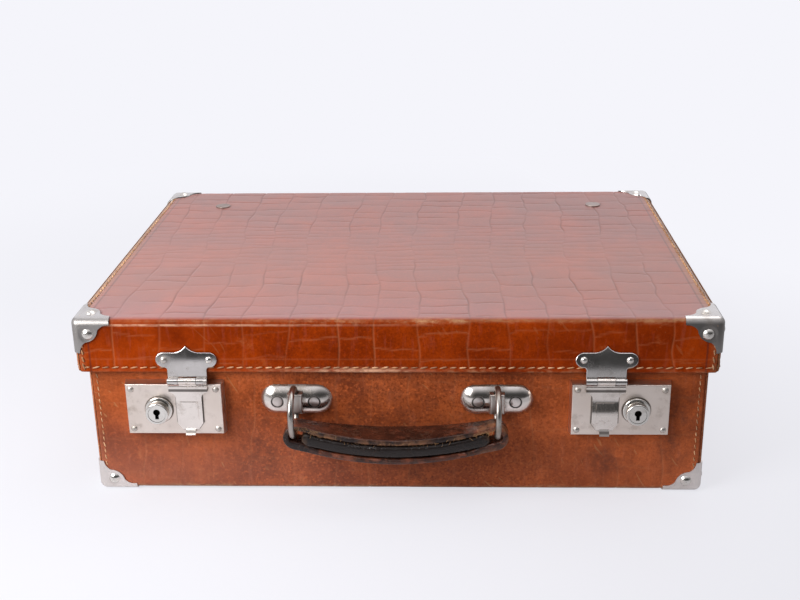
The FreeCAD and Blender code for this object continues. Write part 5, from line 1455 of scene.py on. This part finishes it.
hand_out(fraying, given, result, sow(fraying, given, cut, solid, turn_by(fraying, stand, spin), 0.3, 1.0))
print("fibre tree has", len(fraying.nodes), "nodes")

# %% Fibres on the grip
def grip_edge(start, end, level, count):
    """Line along the front of the grip, level measured from its middle line."""
    x = np.linspace(start, end, count)
    y = grip_y - grip_half_width(x) + 0.45 * MM
    out = np.repeat([[0.0, -0.8, 0.6]], count, axis=0)
    return np.stack([x, y, grip_middle(x) + level], axis=1), out


torn_level = GRIP_END - STRAP_GAUGE + 0.4 * MM
fray_lines = [
    grip_edge(-0.050, 0.050, torn_level, 60),
    grip_edge(0.046, 0.058, torn_level + 0.8 * MM, 20),
    grip_edge(-0.058, -0.046, GRIP_END - 0.6 * MM, 20)]
FRAYING = {"Count": 46, "Hair": 0.08 * MM, "Length": 2.6 * MM, "Seed": 3, "Finish": fray_finish}
fibres = grow_mesh("grip_fibres", path_object("torn_lines", fray_lines), fraying, FRAYING, "handle")

# %% [markdown]
# ## Lining
# Inside, the boards are covered with glued cloth. Cloth cannot follow a sharp inside corner, so each lining
# is one sheet that rounds the corners. Loops of a rounded rectangle go down the walls, round into the floor
# and shrink towards its middle. A thickness modifier turns the sheet into cloth.

# %% Cloth finish
cloth, tree, shader, place = finish_start("lining_cloth")
weave_sizes = {"Vector": place, "Scale": 330.0, "Distortion": 0.6, "Detail": 1.0}
warp, weft, upright = (
    put(tree, "ShaderNodeTexWave", weave_sizes, bands_direction=axis).outputs["Fac"] for axis in "XYZ")
weave = times(tree, plus(tree, times(tree, plus(tree, warp, weft), 0.5), upright), 0.5)
colour = tint(tree, weave, (0.36, 0.24, 0.13), (0.55, 0.41, 0.25))
age = times(tree, clouds(tree, place, 14.0, 5.0, 0.65, 0.36, 0.72), 0.32)
feed(tree, shader, {"Base Color": tint(tree, age, colour, (0.30, 0.19, 0.10)), "Roughness": 0.88})
raise_surface(tree, shader, weave, 0.00018, 0.8)
print("cloth finish:", cloth.name)

# %% Lining sheets
CLOTH_GAUGE = 0.45 * MM
CLOTH_GAP = 0.1 * MM
CORNER = 4.0 * MM
ROOM_ROUND = 6.0 * MM
LEAST_ROUND = 2.0 * MM
LOOP_STEP = 0.012
SAG = 0.25 * MM


def rounded_loop(half_x, half_y, corner):
    """Points of a rectangle with round corners."""
    spots = []
    for quarter, (sx, sy) in enumerate(((1, 1), (-1, 1), (-1, -1), (1, -1))):
        for turn in np.linspace(0.0, math.pi / 2.0, 14):
            angle = turn + quarter * math.pi / 2.0
            spots.append(np.array((
                sx * (half_x - corner) + corner * math.cos(angle),
                sy * (half_y - corner) + corner * math.sin(angle))))
    dense = []
    for here, following in zip(spots, spots[1:] + spots[:1]):
        steps = max(1, round(math.dist(here, following) / LOOP_STEP))
        dense.extend(here + (following - here) * i / steps for i in range(steps))
    return dense


def lining_points(node, up):
    """Points of one lining, ring by ring from its rim to its middle, and the number of points in a ring."""
    low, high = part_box(node)
    half_x = high.x - CLOTH_GAP
    half_y = high.y - CLOTH_GAP
    rim = low.z if up > 0 else high.z
    height = high.z - low.z - CLOTH_GAP
    levels = [(0.0, rise) for rise in np.linspace(0.0, height - CORNER, 8)]
    for angle in np.radians(np.linspace(0.0, 90.0, 6))[1:]:
        levels.append((CORNER * (1.0 - math.cos(angle)), height - CORNER + CORNER * math.sin(angle)))
    points = []
    for inset, rise in levels:
        for x, y in rounded_loop(half_x - inset, half_y - inset, max(LEAST_ROUND, ROOM_ROUND - inset)):
            points.append((x, y, rim + up * rise))
    inner_loop = rounded_loop(half_x - CORNER, half_y - CORNER, LEAST_ROUND)
    for share in np.linspace(1.0, 0.0, 14)[1:-1]:
        for x, y in inner_loop:
            sag = SAG * noise.noise(Vector((x * 18.0 * share, y * 18.0 * share, 2.0)))
            points.append((x * share, y * share, rim + up * (height - abs(sag))))
    points.append((0.0, 0.0, rim + up * height))
    return points, len(inner_loop)


def build_lining(name, node, body, up):
    """A lining as thin cloth, glued to the boards of its half."""
    points, columns = lining_points(node, up)
    hub = len(points) - 1
    faces = tube_faces(hub // columns, columns)
    for here in range(columns):
        faces.append([hub - columns + here, hub - columns + (here + 1) % columns, hub])
    piece = make_piece(name, points, faces, cloth, body)
    thickness = piece.modifiers.new("cloth", "SOLIDIFY")
    thickness.thickness = CLOTH_GAUGE
    thickness.offset = -1.0
    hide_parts(node)


build_lining("base_cloth", "base_lining", "base", -1)
build_lining("lid_cloth", "lid_lining", "lid", 1)

# %% [markdown]
# ## Metal and board
# The fittings are nickel plated and decades old: bright in places and cloudy in others, with brown bloom,
# fine rub lines and soiling round the key bosses. Shade is painted into their colour as well: under the
# rolled edges of the lid caps, beside and under the hasp's tongue, inside the keyholes and round the rivets
# of the handle plates. The caps, lock plates and hinges share one way of ageing and differ in tone and
# polish. The boards behind the leather are brown pulp board.

# %% Metal finishes
TARNISH_BROWN = (0.21, 0.15, 0.10)
# Dark for real soiling and for painted shade.
SOIL_AND_SHADE_DARK = (0.030, 0.022, 0.017)
LINE_HEIGHT = 0.01 * MM


def dress(material, *words):
    """Give a finish to every CAD node whose name holds one of the words."""
    chosen = [name for name in nodes if any(word in name for word in words)]
    for name in chosen:
        mesh = nodes[name].data
        mesh.materials.clear()
        mesh.materials.append(material)
    print(material.name, "on", len(chosen), "pieces")


def old_plating(name, *words, bright, dull, gloss, haze, tarnish, soil_and_shade=None, press=None):
    """Aged plating for the pieces with these words, with an optional mask by place that darkens it for real
    soiling and painted shade, and an optional height by place.
    """
    material, tree, shader, place = finish_start(name)
    axes = apart(tree, place)
    age = use_group(tree, plating, place)
    colour = paint(
        tree, bright,
        (times(tree, age["Haze"], 0.5), dull),
        (times(tree, age["Tarnish"], tarnish), TARNISH_BROWN))
    rough = plus(tree, gloss, times(tree, age["Haze"], haze), times(tree, age["Tarnish"], 0.22))
    # Darker where the mask says: real soiling, and painted shade in corners, recesses and under edges.
    if soil_and_shade:
        soil_and_shade_mask = soil_and_shade(tree, axes)
        colour = tint(tree, soil_and_shade_mask, colour, SOIL_AND_SHADE_DARK)
        rough = plus(tree, rough, times(tree, soil_and_shade_mask, 0.35))
    feed(tree, shader, {"Base Color": colour, "Metallic": 1.0, "Roughness": rough})
    height = times(tree, age["Lines"], LINE_HEIGHT)
    if press:
        height = plus(tree, height, press(tree, axes))
    raise_surface(tree, shader, height, 1.0)
    dress(material, *words)


def on_right(tree, axes, left, right):
    """One value on the left half of the case and another on the right."""
    return ramp(tree, axes["X"], -0.01, 0.01, left, right)


print("metal helpers ready")

# %% Corner caps
LID_TOP = lid_form["rim"] + lid_form["height"]
CAP_CROWN_START = LID_TOP - 22.5 * MM
CAP_CROWN_BEND = 5.5
RIGHT_BEND_DROP = 6.0 * MM
DISH_INNER = 3.2 * MM
DISH_OUTER = 6.0 * MM


def cap_shade(tree, axes):
    """Painted shade on a lid cap below its rolled top edge, a darker reflection that is stronger on the right
    of the case.
    """
    rise = minus(tree, axes["Z"], LID_TOP)
    under = ramp(tree, rise, -24.0 * MM, -2.6 * MM, 0.56, 0.71)
    rolled = ramp(tree, rise, -0.4 * MM, 0.5 * MM, 1.0, 0.0)
    return times(tree, on_right(tree, axes, 0.78, 0.92), under, rolled)


def dimple(tree, axes, form, side_inset, level, depth):
    """Height of a shallow dish round a nail at the given inset from the corner, on front, rear and sides."""
    up = minus(tree, axes["Z"], level)
    dishes = []
    for axis in "XY":
        nail = form[f"half_{axis.lower()}"] - side_inset
        along = minus(tree, reckon(tree, "ABSOLUTE", axes[axis]), nail)
        dishes.append(ramp(tree, reach_of(tree, along, up), DISH_INNER, DISH_OUTER, -depth, 0.0))
    return reckon(tree, "MINIMUM", *dishes)


def crown(tree, axes, start, bend):
    """A plate bends back above a line, which lies lower on the right of the case."""
    rise = plus(tree, minus(tree, axes["Z"], start), on_right(tree, axes, 0.0, RIGHT_BEND_DROP))
    return times(tree, square(tree, most(tree, rise, 0.0)), -bend)


def lid_cap_press(tree, axes):
    """The lid's corner caps are pressed: a soft crown at the top edge and a dish round each nail."""
    dish = dimple(tree, axes, lid_form, side_inset=9.0 * MM, level=LID_TOP - 9.5 * MM, depth=0.4 * MM)
    return plus(tree, crown(tree, axes, CAP_CROWN_START, CAP_CROWN_BEND), dish)


def base_cap_press(tree, axes):
    """The base caps have a shallower dish round each nail."""
    return dimple(tree, axes, base_form, side_inset=9.3 * MM, level=8.7 * MM, depth=0.3 * MM)


old_plating(
    "lid_cap_nickel", "lid_cap_front", "lid_cap_rear", bright=(0.66, 0.63, 0.61), dull=(0.48, 0.45, 0.43),
    gloss=0.16, haze=0.14, tarnish=0.35, soil_and_shade=cap_shade, press=lid_cap_press)
old_plating(
    "base_cap_nickel", "base_cap_front", "base_cap_rear", bright=(0.74, 0.69, 0.66), dull=(0.58, 0.53, 0.50),
    gloss=0.30, haze=0.14, tarnish=0.30, press=base_cap_press)
old_plating(
    "nail_nickel", "_cap_nails", "hasp_plate_rivets", "hinge_leaf_rivets", "hinge_strap_rivets",
    bright=(0.72, 0.69, 0.65), dull=(0.52, 0.48, 0.44), gloss=0.16, haze=0.14, tarnish=0.45)

# %% Locks and hasps
FLAP_LOW, FLAP_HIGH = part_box("right_hasp_flap")
FLAP_MIDDLE = (FLAP_LOW.x + FLAP_HIGH.x) / 2.0
BOSS_LOW, BOSS_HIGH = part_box("right_lock_barrel")
BOSS = (BOSS_LOW + BOSS_HIGH) / 2.0
BOSS_RADIUS = (BOSS_HIGH.x - BOSS_LOW.x) / 2.0
TONGUE_HALF = 7.9 * MM
TOE_HALF = 4.7 * MM
TOE_RISE = 3.0 * MM
CHAMFER_SLOPE = 0.7
CORE_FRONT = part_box("right_lock_core")[0].y
CROWN_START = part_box("left_hasp_plate")[0].z + 6.5 * MM
CROWN_BEND = 11.0
BAR_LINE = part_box("left_hasp_flap")[1].z - 7.9 * MM
FLAP_BEND_LINE = FLAP_LOW.z + 13.0 * MM
FLAP_BEND_RUN = 11.5 * MM
FLAP_BEND_DEPTH = 2.7 * MM


def lock_soil_and_shade(tree, axes):
    """Soiling round the key boss, and painted shadow along the sides of the hasp's tongue, on both locks."""
    aside = reckon(tree, "ABSOLUTE", axes["X"])
    from_boss = reach_of(tree, minus(tree, aside, BOSS.x), minus(tree, axes["Z"], BOSS.z))
    boss = ramp(tree, off(tree, from_boss, BOSS_RADIUS), 0.1 * MM, 1.0 * MM, 0.85, 0.0)
    above_toe = minus(tree, axes["Z"], FLAP_LOW.z + TOE_RISE)
    chamfer = plus(tree, times(tree, above_toe, CHAMFER_SLOPE), TOE_HALF)
    outline = reckon(tree, "MINIMUM", most(tree, chamfer, TOE_HALF), TONGUE_HALF)
    off_tongue = off(tree, off(tree, aside, FLAP_MIDDLE), outline)
    # Painted shadow of the tongue on the lock face.
    beside = ramp(tree, off_tongue, 0.1 * MM, 0.9 * MM, 0.8, 0.0)
    return most(tree, boss, times(tree, beside, ramp(tree, above_toe, -0.4 * MM, 0.4 * MM)))


def keyhole_shade(tree, axes):
    """Painted shade: the keyhole is dark a little way in."""
    return ramp(tree, axes["Y"], CORE_FRONT + 0.2 * MM, CORE_FRONT + 0.6 * MM)


def flap_shade(tree, axes):
    """Painted shade: a dark line under the bar at the top of the hasp's tongue, and a darker band above its
    lip.
    """
    rise = minus(tree, axes["Z"], FLAP_LOW.z)
    bar = ramp(tree, off(tree, axes["Z"], BAR_LINE), 0.5 * MM, 1.4 * MM, 0.80, 0.0)
    lip = ramp(tree, rise, 1.2 * MM, 2.0 * MM, 0.35, 0.80)
    return most(tree, bar, times(tree, lip, ramp(tree, rise, 2.8 * MM, 3.6 * MM, 1.0, 0.0)))


def flap_bend(tree, axes):
    """The right flap bends back for a short way above its middle, and mirrors the darker end of the room."""
    bent = ramp(tree, axes["Z"], FLAP_BEND_LINE, FLAP_BEND_LINE + FLAP_BEND_RUN, 0.0, -FLAP_BEND_DEPTH)
    return times(tree, bent, on_right(tree, axes, 0.0, 1.0))


def hasp_crown(tree, axes):
    """The hasp plate is pressed to a soft crown above its knuckles."""
    return crown(tree, axes, CROWN_START, CROWN_BEND)


old_plating(
    "lock_nickel", "_lock_case", bright=(0.79, 0.695, 0.63), dull=(0.67, 0.575, 0.505),
    gloss=0.26, haze=0.16, tarnish=0.40, soil_and_shade=lock_soil_and_shade)
old_plating(
    "screw_nickel", "lock_rivets", bright=(0.60, 0.56, 0.52), dull=(0.40, 0.36, 0.32),
    gloss=0.34, haze=0.16, tarnish=0.70)
old_plating(
    "flap_nickel", "_hasp_flap", bright=(0.83, 0.76, 0.71), dull=(0.70, 0.63, 0.58),
    gloss=0.15, haze=0.14, tarnish=0.40, soil_and_shade=flap_shade, press=flap_bend)
old_plating(
    "hasp_nickel", "left_hasp_plate", "right_hasp_plate", bright=(0.62, 0.59, 0.57), dull=(0.46, 0.43, 0.41),
    gloss=0.16, haze=0.12, tarnish=0.40, press=hasp_crown)
old_plating(
    "boss_nickel", "_lock_barrel", bright=(0.72, 0.69, 0.65), dull=(0.58, 0.55, 0.51),
    gloss=0.12, haze=0.10, tarnish=0.30)
old_plating(
    "core_nickel", "_lock_core", bright=(0.74, 0.71, 0.67), dull=(0.60, 0.57, 0.53),
    gloss=0.20, haze=0.10, tarnish=0.30, soil_and_shade=keyhole_shade)

# %% Handle plates, hinges and boards
PLATE_LOW, PLATE_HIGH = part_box("right_handle_plate")
PLATE_MIDDLE = (PLATE_LOW.x + PLATE_HIGH.x) / 2.0
RIVETS_LOW, RIVETS_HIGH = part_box("handle_plate_rivets")
RIVET_LEVEL = (RIVETS_LOW.z + RIVETS_HIGH.z) / 2.0
RIVET_RADIUS = (RIVETS_HIGH.z - RIVETS_LOW.z) / 2.0
RIVET_REACH = RIVETS_HIGH.x - RIVET_RADIUS - PLATE_MIDDLE
DOME_BEND = 45.0


def from_plate_middle(tree, axes):
    """Sideways distance from the middle of the nearer handle plate."""
    return off(tree, reckon(tree, "ABSOLUTE", axes["X"]), PLATE_MIDDLE)


def from_rivet(tree, axes):
    """Distance from the nearest rivet of a handle plate."""
    along = minus(tree, from_plate_middle(tree, axes), RIVET_REACH)
    return reach_of(tree, along, minus(tree, axes["Z"], RIVET_LEVEL))


def plate_shade(tree, axes):
    """Painted shade round the rivets of a handle plate and beside its ear."""
    ring = ramp(tree, off(tree, from_rivet(tree, axes), RIVET_RADIUS), 0.15 * MM, 0.75 * MM, 0.85, 0.0)
    return most(tree, ring, ramp(tree, from_plate_middle(tree, axes), 3.0 * MM, 7.5 * MM, 0.38, 0.0))


def rivet_dome(tree, axes):
    """The rivet heads of the handle plates are hammered to a soft dome."""
    return times(tree, square(tree, from_rivet(tree, axes)), -DOME_BEND)


old_plating(
    "plate_nickel", "left_handle_plate", "right_handle_plate", bright=(0.80, 0.74, 0.69),
    dull=(0.54, 0.49, 0.45), gloss=0.13, haze=0.10, tarnish=0.55, soil_and_shade=plate_shade)
old_plating(
    "head_nickel", "handle_plate_rivets", bright=(0.70, 0.64, 0.61), dull=(0.48, 0.42, 0.39),
    gloss=0.24, haze=0.14, tarnish=0.60, soil_and_shade=plate_shade, press=rivet_dome)
old_plating(
    "ring_nickel", "_handle_ring", bright=(0.40, 0.37, 0.34), dull=(0.20, 0.175, 0.15),
    gloss=0.24, haze=0.20, tarnish=0.70)
old_plating(
    "hinge_nickel", "_hinge_leaf", "_hinge_strap", bright=(0.58, 0.54, 0.50), dull=(0.44, 0.40, 0.36),
    gloss=0.22, haze=0.16, tarnish=0.55)
old_plating(
    "bare_steel", "_pins", "_staple", "_lock_bolt", bright=(0.50, 0.49, 0.48), dull=(0.32, 0.30, 0.28),
    gloss=0.30, haze=0.18, tarnish=0.60)
old_plating(
    "rivet_nickel", "lid_top_rivets", bright=(0.38, 0.30, 0.27), dull=(0.26, 0.20, 0.17),
    gloss=0.34, haze=0.15, tarnish=0.60)

pulp_board, tree, shader, place = finish_start("pulp_board")
pulp = speckle(tree, place, 380.0, 6.0, 0.7)
feed(tree, shader, {"Base Color": tint(tree, pulp, (0.25, 0.17, 0.10), (0.46, 0.34, 0.22)), "Roughness": 0.9})
raise_surface(tree, shader, pulp, 0.0002, 0.7)
dress(pulp_board, "_board")
